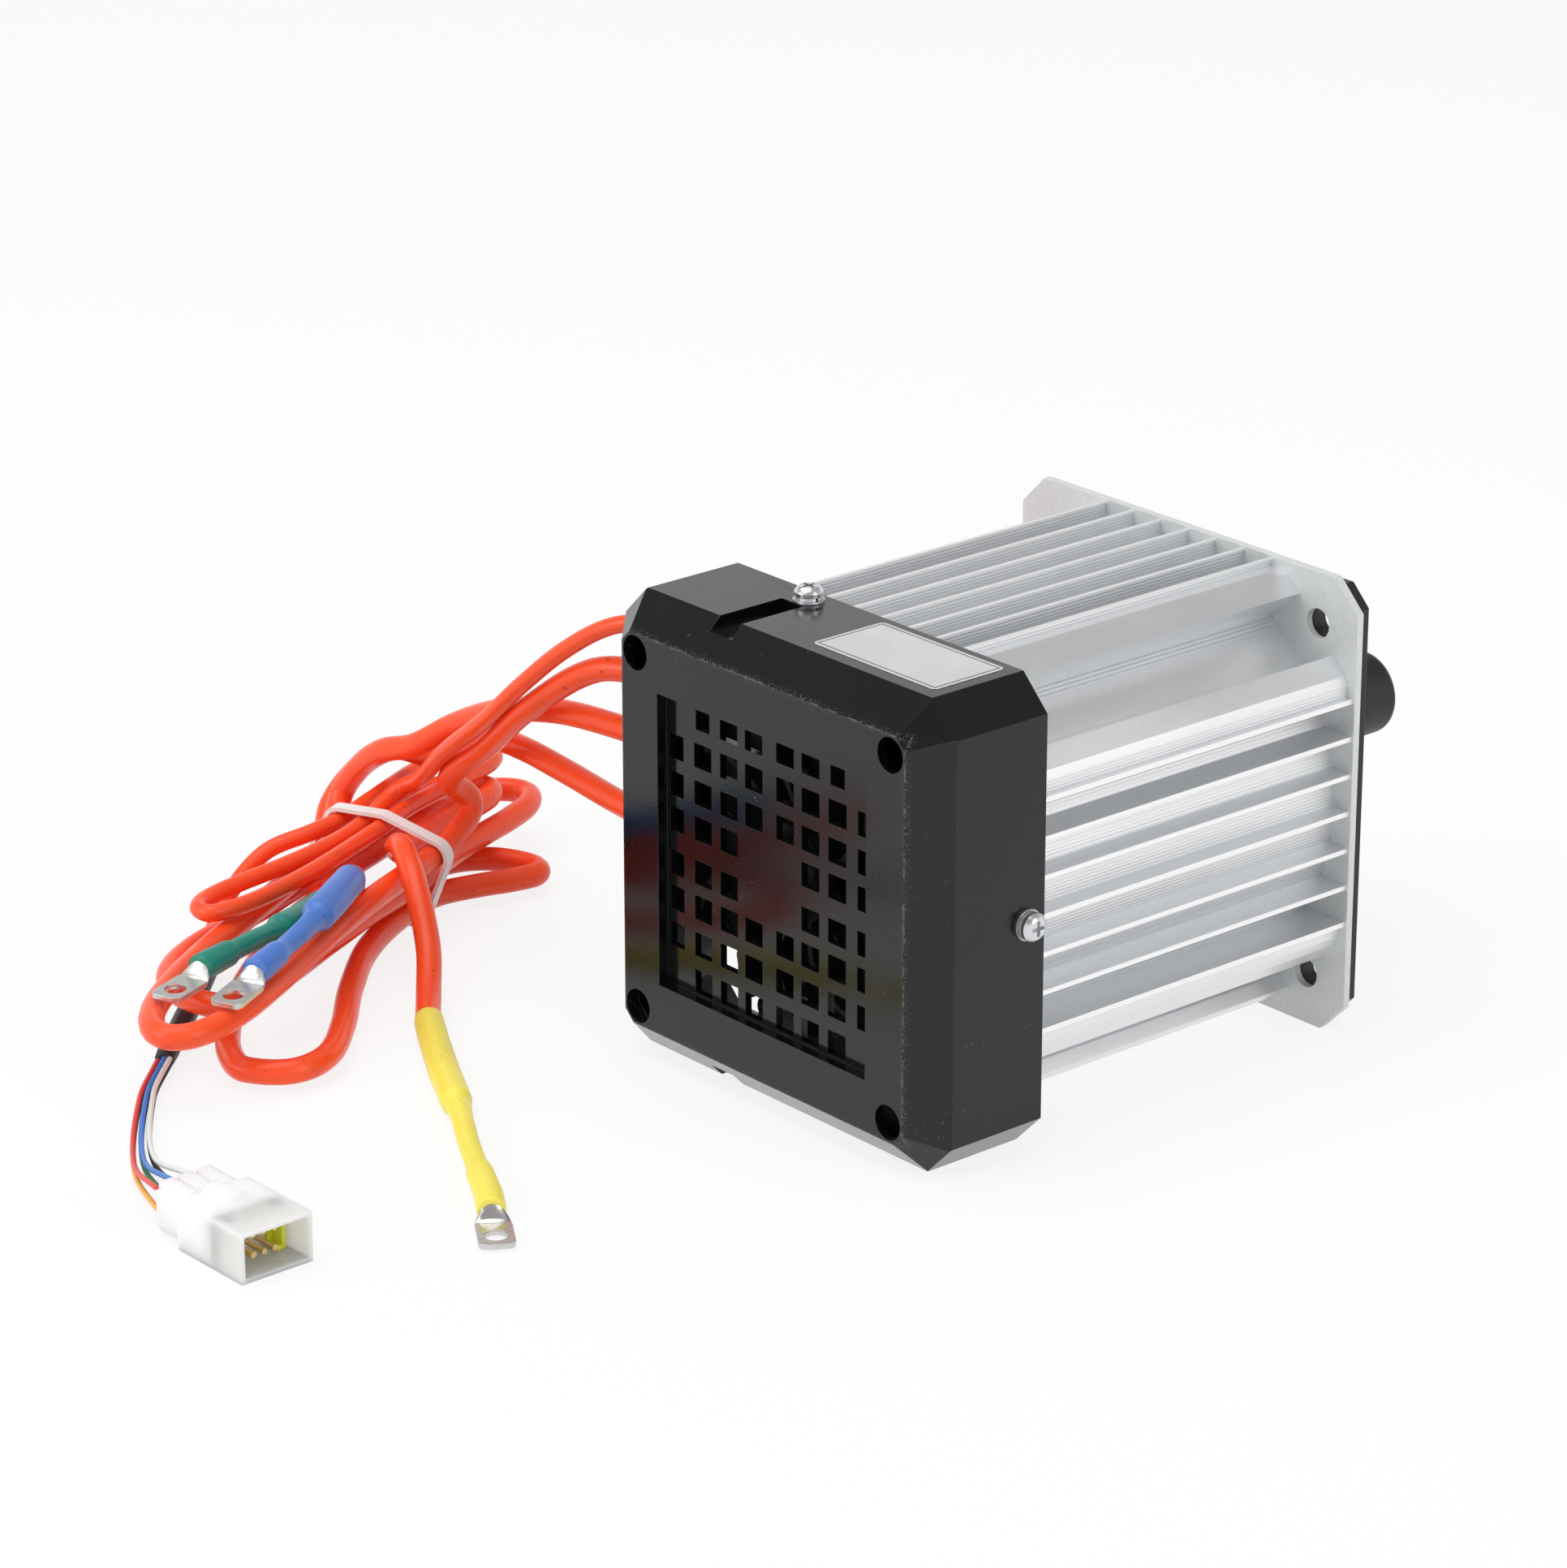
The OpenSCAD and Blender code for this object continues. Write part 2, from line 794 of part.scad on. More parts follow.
// Rotor and shaft
rotor_d = stator_id - 2 * air_gap;
rotor_core_d = rotor_d - 2 * magnet_t;
rotor_rear_y = stack_rear_y + stack_gap;
rotor_front_y = stack_front_y - stack_gap;
fan_y = fan_cover_y + fan_inset;
shaft_rear_y = fan_y - circlip_t - shaft_end_len;
rear_shoulder_y = rear_bearing_y + rear_ring_w;

module spline_outline() {
    root = spline_d / 2 - spline_depth;
    half = PI * spline_d / spline_teeth / 4;
    intersection() {
        circle(d = spline_d);
        union() {
            circle(root);
            for (i = [1:spline_teeth])
                rotate(i * 360 / spline_teeth)
                    polygon([[0, 0], [root, -half * spline_root_share],
                        [spline_d / 2 + cut, -half * spline_tip_share],
                        [spline_d / 2 + cut, half * spline_tip_share],
                        [root, half * spline_root_share]]);
        }
    }
}

module shaft() {
    c = shaft_chamfer;
    e = fan_seat_d / 2;
    color("#aeb2b6")
        difference() {
            union() {
                turned([[0, shaft_rear_y], [e - c, shaft_rear_y], [e, shaft_rear_y + c],
                    [e, fan_y - circlip_t - fit], [e - c / 2, fan_y - circlip_t - fit],
                    [e - c / 2, fan_y], [e, fan_y], [e, fan_y + fan_w],
                    [rear_bore_d / 2, fan_y + fan_w], [rear_bore_d / 2, rear_shoulder_y],
                    [rear_shoulder_d / 2, rear_shoulder_y],
                    [rear_shoulder_d / 2, rotor_rear_y - collar_w],
                    [collar_d / 2, rotor_rear_y - collar_w], [collar_d / 2, rotor_rear_y],
                    [shaft_d / 2, rotor_rear_y], [shaft_d / 2, rotor_front_y],
                    [front_shoulder_d / 2, rotor_front_y],
                    [front_shoulder_d / 2, front_bearing_y], [front_bore_d / 2, front_bearing_y],
                    [front_bore_d / 2, 0], [0, 0]]);
                intersection() {
                    prism(-touch, spline_len)
                        spline_outline();
                    turned([[0, -cut], [spline_d / 2 + cut, -cut], [spline_d / 2 + cut,
                        spline_len - c - cut], [spline_d / 2 - c, spline_len], [0, spline_len]]);
                }
            }
            rod(spline_len - centre_hole_len, spline_len + cut, centre_hole_d);
        }
}

module rotor_core() {
    color("#6b6e72")
        prism(rotor_rear_y, rotor_front_y)
            difference() {
                circle(d = rotor_core_d);
                circle(d = shaft_d + 2 * fit);
                for (i = [1:rotor_vents])
                    rotate(i * 360 / rotor_vents)
                        translate([(rotor_core_d + shaft_d) / 4, 0])
                            circle(d = rotor_vent_d);
            }
}

module rotor_magnets() {
    color("#8c9094")
        prism(rotor_rear_y, rotor_front_y)
            difference() {
                circle(d = rotor_d);
                circle(d = rotor_core_d + 2 * fit);
                for (i = [1:magnets])
                    rotate(i * 360 / magnets)
                        translate([0, -magnet_gap / 2])
                            square([rotor_d, magnet_gap]);
            }
}

// Fan: a hub, a back plate and swept blades that stand toward the grille
function blade_point(share, side) =
    let (r = fan_hub_d / 2 - touch + (fan_d / 2 - blade_inset - fan_hub_d / 2 + touch) * share,
        a = -blade_sweep * share * share + side * blade_t / 2 / r * 180 / PI)
    [r * sin(a), r * cos(a)];

module fan_blade() {
    polygon([for (i = [0:blade_steps]) blade_point(i / blade_steps, 1),
        for (i = [blade_steps:-1:0]) blade_point(i / blade_steps, -1)]);
}

module cooling_fan() {
    hub = fan_hub_d / 2;
    tip = fan_d / 2;
    color("#2a2c2e")
        difference() {
            union() {
                rod(fan_y, fan_y + fan_w, fan_hub_d);
                rod(fan_y + fan_w - fan_plate_t, fan_y + fan_w, fan_d);
                intersection() {
                    prism(fan_y, fan_y + fan_w - touch)
                        for (i = [1:fan_blades])
                            rotate(i * 360 / fan_blades)
                                fan_blade();
                    turned([[0, fan_y + fan_w], [0, fan_y + blade_rise], [hub, fan_y + blade_rise],
                        [fan_eye_d / 2, fan_y], [tip - blade_rise, fan_y],
                        [tip + cut, fan_y + blade_rise + cut], [tip + cut, fan_y + fan_w]]);
                }
            }
            rod(fan_y - cut, fan_y + fan_w + cut, fan_seat_d + 2 * fit);
        }
}

module fan_circlip() {
    color("#6f7275")
        prism(fan_y - circlip_t, fan_y - fit)
            difference() {
                circle(d = fan_seat_d + 2 * circlip_w);
                circle(d = fan_seat_d - shaft_chamfer + 2 * fit);
                polygon([[0, 0], fan_seat_d * [-sin(circlip_gap_angle / 2), cos(circlip_gap_angle / 2)],
                    fan_seat_d * [sin(circlip_gap_angle / 2), cos(circlip_gap_angle / 2)]]);
            }
}

// Fan cover: a bevelled box, drawn in by one profile per pair of sides and of corners
module bevel_profile(half, depth, bevel) {
    polygon([[-half + bevel, 0], [half - bevel, 0], [half, bevel], [half, depth], [-half, depth],
        [-half, bevel]]);
}

module bevelled_slab(turn, half, depth, bevel) {
    rotate([0, turn, 0])
        translate([0, 0, -frame_w])
            linear_extrude(2 * frame_w)
                bevel_profile(half, depth, bevel);
}

module bevelled_box(from, half, diagonal, depth, bevel) {
    translate([0, from, 0])
        intersection() {
            bevelled_slab(0, half, depth, bevel);
            bevelled_slab(90, half, depth, bevel);
            bevelled_slab(45, diagonal, depth, bevel * corner_bevel_share);
            bevelled_slab(-45, diagonal, depth, bevel * corner_bevel_share);
        }
}

grille_y = fan_cover_y + recess_d;
outlet_y = housing_rear_y - outlet_inset;
inner_bevel = cover_bevel - cover_wall * inner_bevel_share;

// Columns and rows count outward from the middle, below zero to the left and down
function cell_place(i) = sign(i) * column_shares[abs(i) - 1] * recess_w / 2;
function cell_width(x, z) = abs(x) == 4 || (z == 4 && abs(x) == 3) ? narrow_cell : cell_w;
function cell_open(x, z) = x != 0 && z != 0 && abs(x) + abs(z) < 8 && abs(x) + abs(z) > 2;

module grille_cells() {
    for (x = [-4:4])
        for (z = [-4:4])
            if (cell_open(x, z))
                translate([cell_place(x), cell_place(z)])
                    square([cell_width(x, z), cell_h], center = true);
}

module channel(wall) {
    translate([channel_x - channel_w / 2 - wall, fan_cover_y + (wall > 0 ? cover_wall : -cut),
        frame_w / 2 - channel_d - wall])
        cube([channel_w + 2 * wall, channel_len + (wall > 0 ? wall - cover_wall : cut),
            channel_d + wall + cut]);
}

module fan_cover() {
    color("#17181a")
        difference() {
            union() {
                difference() {
                    bevelled_box(fan_cover_y, frame_w / 2, corner_reach, cover_len, cover_bevel);
                    bevelled_box(fan_cover_y + cover_wall, frame_w / 2 - cover_wall,
                        corner_reach - cover_wall, cover_len, inner_bevel);
                }
                prism(fan_cover_y, grille_y + grille_t)
                    square(recess_w + 2 * cover_wall, center = true);
                intersection() {
                    bevelled_box(fan_cover_y, frame_w / 2, corner_reach, cover_len, cover_bevel);
                    union() {
                        channel(channel_wall);
                        mirror([0, 0, 1])
                            channel(channel_wall);
                    }
                }
            }
            prism(fan_cover_y - cut, grille_y)
                square(recess_w, center = true);
            prism(fan_cover_y - cut, grille_y + grille_t + cut)
                grille_cells();
            prism(fan_cover_y - cut, fan_cover_y + cover_bevel)
                at_bolts()
                    circle(d = tool_hole_d);
            channel(0);
            mirror([0, 0, 1])
                channel(0);
            translate([0, cover_screw_y, 0])
                at_lugs()
                    translate([0, 0, frame_w / 2 - cover_wall - cut])
                        cylinder(d = cover_screw_d + 2 * screw_clear, h = cover_wall + 2 * cut);
            translate([-frame_w / 2 - cut, outlet_y - outlet_w / 2, outlet_low])
                cube([cover_wall + 2 * cut, outlet_w, outlet_high - outlet_low]);
        }
}

module cover_screws() {
    seat = frame_w / 2 + flat_washer_t + spring_washer_t;
    color("#c9ccd0")
        translate([0, cover_screw_y, 0])
            at_lugs()
                translate([0, 0, seat])
                    pan_screw(cover_screw_d - 2 * fit, seat - bracket_w / 2 + cover_screw_len - cut,
                        pan_d, pan_h);
}

module washer(d, t, bore) {
    difference() {
        cylinder(d = d, h = t);
        translate([0, 0, -cut])
            cylinder(d = bore, h = t + 2 * cut);
    }
}

module cover_washers() {
    bore = cover_screw_d + 2 * screw_clear;
    color("#a9adb2")
        translate([0, cover_screw_y, 0])
            at_lugs()
                translate([0, 0, frame_w / 2]) {
                    washer(flat_washer_d, flat_washer_t, bore);
                    translate([0, 0, flat_washer_t])
                        difference() {
                            washer(spring_washer_d, spring_washer_t, bore);
                            translate([0, -washer_split / 2, -cut])
                                cube([spring_washer_d, washer_split, spring_washer_t + 2 * cut]);
                        }
                }
}

// Grommet: a body that fills the window, a lip on each side and a collar round each lead
lead_d = [phase_d, phase_d, phase_d, sensor_d];
grommet_face_x = -frame_w / 2 - lip_t;
collar_face_x = grommet_face_x - collar_t;
grommet_inner_x = -frame_w / 2 + cover_wall + lip_t;

module cable_grommet() {
    w = outlet_w - 2 * fit;
    h = outlet_high - outlet_low - 2 * fit;
    color("#202124") {
        translate([grommet_face_x, outlet_y - w / 2, outlet_low + fit])
            cube([grommet_inner_x - grommet_face_x, w, h]);
        for (x = [grommet_face_x, grommet_inner_x - lip_t])
            translate([x, outlet_y - w / 2 - lip_reach, outlet_low + fit - lip_reach])
                cube([lip_t, w + 2 * lip_reach, h + 2 * lip_reach]);
        for (i = [0:3])
            translate([collar_face_x, outlet_y, lead_z[i]])
                rotate([0, 90, 0])
                    cylinder(d = lead_d[i] + 2 * collar_wall, h = collar_t + touch);
    }
}

module shaft_cap() {
    inner = spline_d / 2 + cap_slip;
    outer = inner + cap_wall;
    color("#141516")
        turned([[inner, cap_gap], [outer, cap_gap], for (a = [0:15:90])
            [outer - cap_round + cap_round * cos(a), cap_len - cap_round + cap_round * sin(a)],
            [0, cap_len], [0, cap_len - cap_end_t], [inner, cap_len - cap_end_t]]);
}

// Tubes swept along a path of points
function unit(v) = v / norm(v);
function mix(a, b, share) = a + (b - a) * share;
function knot(p, i) = i < 0 ? 2 * p[0] - p[1] : i >= len(p) ? 2 * p[len(p) - 1] - p[len(p) - 2] : p[i];

// A point of the smooth curve through the route, past its point i by a share of the way on
function curve(a, b, c, d, t) =
    (2 * b + (c - a) * t + (2 * a - 5 * b + 4 * c - d) * t * t + (3 * b - a - 3 * c + d) * t * t * t) / 2;
function smooth(p, step, first, last) = [
    for (i = [first:last - 1])
        let (n = max(1, round(norm(p[i + 1] - p[i]) / step)))
            for (j = [0:n - 1])
                curve(knot(p, i - 1), p[i], p[i + 1], knot(p, i + 2), j / n),
    p[last]];

// Part of a path from one of its points to another, with a ring square to it at each point.
// The radius follows the shares along the part.
module swept(path, from, to, shares, d, sides) {
    n = to - from;
    points = [for (i = [0:n])
        let (q = path[from + i],
            along = unit(path[min(from + i + 1, len(path) - 1)] - path[max(from + i - 1, 0)]),
            across = unit(cross(along, [0, 0, 1])), up = cross(across, along),
            r = d / 2 * lookup(i / n, shares))
            for (k = [0:sides - 1])
                q + r * (cos(k * 360 / sides) * across + sin(k * 360 / sides) * up)];
    walls = [for (i = [0:n - 1]) for (k = [0:sides - 1])
        let (a = i * sides + k, b = i * sides + (k + 1) % sides)
            each [[a, b, b + sides], [a, b + sides, a + sides]]];
    start = [for (k = [1:sides - 2]) [0, k + 1, k]];
    end = [for (k = [1:sides - 2]) [n * sides, n * sides + k, n * sides + k + 1]];
    polyhedron(points, concat(walls, start, end));
}

// The bundle's own directions: along it, across it and up from the floor
function bundle(q) = [loop_x + q[0] * cos(loop_turn) - q[1] * sin(loop_turn),
    loop_y + q[0] * sin(loop_turn) + q[1] * cos(loop_turn), floor_z + q[2]];
function bundle_path(points) = [for (q = points) bundle(q)];

// One loop: out to the left end, back past the tie, out to the right end and back
function waist_at(v, a) = a < 180 ? mix(v[8], v[9], a / 180) : mix(v[9], v[10], a / 180 - 1);
function bulge_at(v, a, side) = sin(a) >= 0 ? (side > 0 ? v[5] : v[4]) : (side > 0 ? v[7] : v[6]);
function loop_point(v, a, h) =
    let (s = sin(a), c = cos(a), side = sign(v[8]) * c, left = s >= 0)
        bundle([s * (left ? v[0] : v[1]), waist_at(v, a) * c * c + (left ? v[2] : v[3]) * s * s
            + bulge_scale * bulge_at(v, a, side) * s * s * side, h]);
function loop_path(v, h) = [for (i = [0:loop_rings]) loop_point(v, i * 360 / loop_rings, h)];

blue_level = lift + phase_d / 2;
green_level = blue_level + layer;
yellow_level = green_level + layer;
sensor_level = yellow_level + (phase_d + sensor_d) / 2 + loop_gap;

// A cord is one path through the lead, the loop, the tail and the sleeve. It gives the path
// and the places where the first three end.
function cord(exit, route, v, h, out, sleeve) =
    let (d = lead_d[exit],
        lead = concat([[collar_face_x, outlet_y, lead_z[exit]],
            [collar_face_x - d, outlet_y, lead_z[exit]]], route),
        knots = concat(lead, loop_path(v, h), bundle_path(out), bundle_path(sleeve)),
        a = len(lead), b = a + loop_rings, c = b + len(out),
        lead_path = smooth(knots, tube_step * d, 0, a),
        tail_path = smooth(knots, tube_step * d, b, c),
        sleeve_path = smooth(knots, sleeve_step, c, len(knots) - 1),
        n1 = len(lead_path) - 1, n2 = n1 + loop_rings, n3 = n2 + len(tail_path) - 1)
    [concat(lead_path, [for (i = [1:loop_rings - 1]) knots[a + i]], tail_path,
        [for (i = [1:len(sleeve_path) - 1]) sleeve_path[i]]), [0, n1, n2, n3]];

blue_cord = cord(0, concat(blue_route, bundle_path(blue_in)), blue_loop, blue_level, blue_out,
    blue_sleeve_route);
green_cord = cord(1, concat(green_route, bundle_path(green_in)), green_loop, green_level, green_out,
    green_sleeve_route);
yellow_cord = cord(2, concat(yellow_route, bundle_path(yellow_in)), yellow_loop, yellow_level,
    yellow_out, yellow_sleeve_route);
sensor_cord = cord(3, concat(sensor_route, bundle_path(sensor_in)), sensor_loop, sensor_level,
    sensor_out, sensor_sleeve_route);

// Least gap of a loop to itself, between points that are not neighbours along it
function self_gap(p, d, skip) = min([for (i = [0:len(p) - 1 - skip]) for (j = [i + skip:len(p) - 1])
    norm(p[i] - p[j])]) - d;
echo(blue_gap = self_gap(loop_path(blue_loop, blue_level), phase_d, gap_skip));
echo(green_gap = self_gap(loop_path(green_loop, green_level), phase_d, gap_skip));
echo(yellow_gap = self_gap(loop_path(yellow_loop, yellow_level), phase_d, gap_skip));
echo(sensor_gap = self_gap(loop_path(sensor_loop, sensor_level), sensor_d, gap_skip));

// Part 0 is the lead, 1 the loop and 2 the tail
module cord_part(cord, part, d) {
    swept(cord[0], cord[1][part], cord[1][part + 1], [[0, 1], [1, 1]], d,
        part == 1 ? loop_sides : d > sensor_d ? tube_sides : wire_sides);
}

module cord_sleeve(cord, shares, d) {
    swept(cord[0], cord[1][3], len(cord[0]) - 1, shares, d, tube_sides);
}

module blue_phase_lead() {
    color("#f8512f")
        cord_part(blue_cord, 0, phase_d);
}

module green_phase_lead() {
    color("#f8512f")
        cord_part(green_cord, 0, phase_d);
}

module yellow_phase_lead() {
    color("#f8512f")
        cord_part(yellow_cord, 0, phase_d);
}

module sensor_lead() {
    color("#f8512f")
        cord_part(sensor_cord, 0, sensor_d);
}

module blue_phase_loop() {
    color("#f8512f")
        cord_part(blue_cord, 1, phase_d);
}

module green_phase_loop() {
    color("#f8512f")
        cord_part(green_cord, 1, phase_d);
}

module yellow_phase_loop() {
    color("#f8512f")
        cord_part(yellow_cord, 1, phase_d);
}

module sensor_loop() {
    color("#f8512f")
        cord_part(sensor_cord, 1, sensor_d);
}

module blue_phase_tail() {
    color("#f8512f")
        cord_part(blue_cord, 2, phase_d);
}

module green_phase_tail() {
    color("#f8512f")
        cord_part(green_cord, 2, phase_d);
}

module yellow_phase_tail() {
    color("#f8512f")
        cord_part(yellow_cord, 2, phase_d);
}

module sensor_tail() {
    color("#f8512f")
        cord_part(sensor_cord, 2, sensor_d);
}

module blue_sleeve() {
    color("#4f7bc9")
        cord_sleeve(blue_cord, sleeve_shares, phase_d);
}

module green_sleeve() {
    color("#1f8a70")
        cord_sleeve(green_cord, sleeve_shares, phase_d);
}

module yellow_sleeve() {
    color("#f2dc50")
        cord_sleeve(yellow_cord, sleeve_shares, phase_d);
}

module sensor_sleeve() {
    color("#161616")
        cord_sleeve(sensor_cord, boot_shares, sensor_d);
}

// A lug starts at the end of its sleeve and points the way that the sleeve ends
module ring_lug(cord, pitch) {
    path = cord[0];
    end = path[len(path) - 1];
    way = end - path[len(path) - 2];
    tongue_x = lug_barrel_len + lug_shoulder_len;
    r = lug_tongue_w / 2;
    color("#c8c4bc")
        translate(end)
            rotate([0, 0, atan2(way[1], way[0])])
                rotate([0, pitch, 0])
                    difference() {
                        union() {
                            rotate([0, 90, 0])
                                cylinder(d = lug_barrel_d, h = lug_barrel_len);
                            hull() {
                                translate([lug_barrel_len - lug_tongue_t, 0, 0])
                                    rotate([0, 90, 0])
                                        cylinder(d = lug_barrel_d, h = lug_tongue_t, $fn = 32);
                                translate([tongue_x, -r, -lug_barrel_d / 2])
                                    cube([touch, lug_tongue_w, lug_tongue_t]);
                            }
                            translate([tongue_x, 0, -lug_barrel_d / 2])
                                linear_extrude(lug_tongue_t)
                                    polygon([[0, -r], [lug_tongue_len - lug_corner, -r],
                                        [lug_tongue_len, lug_corner - r],
                                        [lug_tongue_len, r - lug_corner],
                                        [lug_tongue_len - lug_corner, r], [0, r]]);
                        }
                        translate([tongue_x + lug_tongue_len - lug_hole_inset, 0,
                            -lug_barrel_d / 2 - cut])
                            cylinder(d = lug_hole_d, h = lug_tongue_t + 2 * cut);
                    }
}

module blue_ring_lug() {
    ring_lug(blue_cord, blue_lug_pitch);
}

module green_ring_lug() {
    ring_lug(green_cord, green_lug_pitch);
}

module yellow_ring_lug() {
    ring_lug(yellow_cord, 0);
}

// The leads inside the cover, from the grommet through the bracket to the windings
module inner_lead(i, route) {
    d = lead_d[i];
    path = smooth(concat([[grommet_inner_x, outlet_y, lead_z[i]],
        [grommet_inner_x + d / 2, outlet_y, lead_z[i]]], route), inner_step * d, 0, len(route) + 1);
    swept(path, 0, len(path) - 1, [[0, 1], [1, 1]], d, wire_sides);
}

module inner_leads() {
    turn_y = bracket_y - bend_share * phase_d;
    end_y = stack_rear_y - touch - end_turn_len;
    color("#d9472a") {
        for (i = [0:2])
            inner_lead(i, [[-passage_x - phase_d, outlet_y, inner_lead_z[i]],
                [-passage_x, turn_y, inner_lead_z[i]], [-passage_x, bracket_y, inner_lead_z[i]],
                [-passage_x, end_y, inner_lead_z[i]]]);
        inner_lead(3, [[-passage_x - phase_d, outlet_y, inner_lead_z[3]],
            [-passage_x, turn_y, inner_lead_z[3]],
            for (q = sensor_inner_route) q + [0, housing_rear_y, 0],
            [sensor_inner_route[5][0], stack_rear_y - board_t, sensor_inner_route[5][2]]]);
    }
}

// Wires between the boot and the plug, each a little apart from the next
module sensor_wires() {
    colors = ["#e9e9e6", "#1a1a1a", "#1f8a50", "#2f6fd0", "#d8322c", "#e8a12a"];
    for (column = [0:pin_columns - 1])
        for (row = [0:pin_rows - 1])
            color(colors[column * pin_rows + row]) {
                points = [for (i = [0:len(wire_route) - 1]) wire_route[i]
                    + [0, (column - 1) * wire_spread[i][0], (row * 2 - 1) * wire_spread[i][1]]];
                path = smooth(points, wire_step, 0, len(points) - 1);
                swept(path, 0, len(path) - 1, [[0, 1], [1, 1]], wire_d, wire_sides);
            }
}

// Plug: a box that is open at its mouth, a ribbed neck with a post for each wire and a latch
module sensor_connector() {
    h = plug_h;
    neck = plug_h - 2 * plug_neck_drop;
    color("#f1efe6")
        translate([plug_x, plug_y, floor_z])
            difference() {
                union() {
                    translate([plug_neck_len, -plug_w / 2, 0])
                        cube([plug_len - plug_neck_len, plug_w, h]);
                    translate([0, -plug_w / 2 + plug_neck_drop, plug_neck_drop])
                        cube([plug_neck_len, plug_w - 2 * plug_neck_drop, neck]);
                    for (i = [0:pin_columns - 1])
                        translate([-plug_post_gap, (i - 1) * pin_pitch - plug_post_w / 2,
                            plug_neck_drop])
                            cube([plug_neck_len, plug_post_w, neck + plug_neck_drop]);
                    translate([plug_neck_len, -plug_latch_w / 2, h])
                        rotate([90, 0, 90])
                            linear_extrude(plug_latch_len)
                                polygon([[0, -touch], [plug_latch_w, -touch],
                                    [plug_latch_w - plug_latch_h, plug_latch_h],
                                    [plug_latch_h, plug_latch_h]]);
                }
                translate([plug_len - plug_depth, plug_wall - plug_w / 2, plug_wall])
                    cube([plug_depth + cut, plug_w - 2 * plug_wall, h - 2 * plug_wall]);
            }
}

module connector_lock() {
    inner_w = plug_w - 2 * plug_wall;
    color("#e9e23a")
        translate([plug_x + plug_len - plug_depth, plug_y, floor_z + plug_wall])
            for (side = [0, 1])
                mirror([0, side, 0])
                    translate([0, inner_w / 2 - lock_w - lock_inset, 0])
                        difference() {
                            cube([lock_len, lock_w, plug_h - 2 * plug_wall]);
                            translate([lock_t, -cut, lock_t])
                                cube([lock_len, lock_w + cut - lock_t,
                                    plug_h - 2 * plug_wall - 2 * lock_t]);
                        }
}

module connector_pins() {
    color("#d9b45a")
        for (column = [0:pin_columns - 1])
            for (row = [0:pin_rows - 1])
                translate([plug_x + plug_len - plug_depth,
                    plug_y + (column - 1) * pin_column_gap,
                    floor_z + plug_h / 2 + (row - 1 / 2) * pin_pitch])
                    rotate([0, 90, 0])
                        cylinder(d = pin_d, h = pin_len);
}

// Cable tie: a band drawn tight round the cords at the bundle's middle, with its head
module tie_circles(extra) {
    hull()
        for (v = [[blue_loop, blue_level, phase_d], [green_loop, green_level, phase_d],
            [yellow_loop, yellow_level, phase_d], [sensor_loop, sensor_level, sensor_d]])
            for (i = [8:10])
                translate([v[0][i], v[1]])
                    circle(v[2] / 2 + extra, $fn = 32);
}

module cable_tie() {
    color("#f2f2ee")
        translate([loop_x, loop_y, floor_z])
            rotate([90, 0, loop_turn + 90])
                translate([0, 0, -tie_w / 2]) {
                    linear_extrude(tie_w)
                        difference() {
                            tie_circles(tie_gap + tie_t);
                            tie_circles(tie_gap);
                        }
                    translate([blue_loop[8] - phase_d / 2 - tie_gap - tie_head[1] - touch,
                        blue_level - tie_head[2] / 2, (tie_w - tie_head[0]) / 2])
                        cube([tie_head[1], tie_head[2], tie_head[0]]);
                }
}

housing();
mounting_flange();
front_end_cover();
end_cover_screws();
front_bearing_outer_ring();
front_bearing_inner_ring();
front_bearing_balls();
shaft_seal();
rear_bracket();
rear_bracket_screws();
rear_bearing_outer_ring();
rear_bearing_inner_ring();
rear_bearing_balls();
wave_washer();
stator_core();
stator_windings();
sensor_board();
hall_sensors();
inner_leads();
shaft();
rotor_core();
rotor_magnets();
cooling_fan();
fan_circlip();
fan_cover();
cover_screws();
cover_washers();
cable_grommet();
shaft_cap();
blue_phase_lead();
green_phase_lead();
yellow_phase_lead();
sensor_lead();
blue_phase_loop();
green_phase_loop();
yellow_phase_loop();
sensor_loop();
blue_phase_tail();
green_phase_tail();
yellow_phase_tail();
sensor_tail();
blue_sleeve();
green_sleeve();
yellow_sleeve();
sensor_sleeve();
blue_ring_lug();
green_ring_lug();
yellow_ring_lug();
sensor_wires();
sensor_connector();
connector_lock();
connector_pins();
cable_tie();
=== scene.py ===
import math

import bmesh
import bpy
from mathutils import Matrix, Vector, noise


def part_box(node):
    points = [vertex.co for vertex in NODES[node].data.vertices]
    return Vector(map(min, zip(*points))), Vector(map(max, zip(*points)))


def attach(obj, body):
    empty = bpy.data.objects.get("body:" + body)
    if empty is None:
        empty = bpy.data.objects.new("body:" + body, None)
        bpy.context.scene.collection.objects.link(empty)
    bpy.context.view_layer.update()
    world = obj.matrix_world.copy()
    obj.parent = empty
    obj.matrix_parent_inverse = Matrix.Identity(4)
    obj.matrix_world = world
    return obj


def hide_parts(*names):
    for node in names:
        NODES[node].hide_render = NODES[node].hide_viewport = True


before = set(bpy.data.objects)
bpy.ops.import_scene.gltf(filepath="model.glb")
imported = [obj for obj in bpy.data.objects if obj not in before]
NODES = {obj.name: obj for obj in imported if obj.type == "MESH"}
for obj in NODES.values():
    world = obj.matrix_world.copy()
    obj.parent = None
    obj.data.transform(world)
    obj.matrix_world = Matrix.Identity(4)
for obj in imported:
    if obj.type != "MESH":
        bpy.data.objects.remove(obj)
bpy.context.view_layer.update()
MM = 0.001


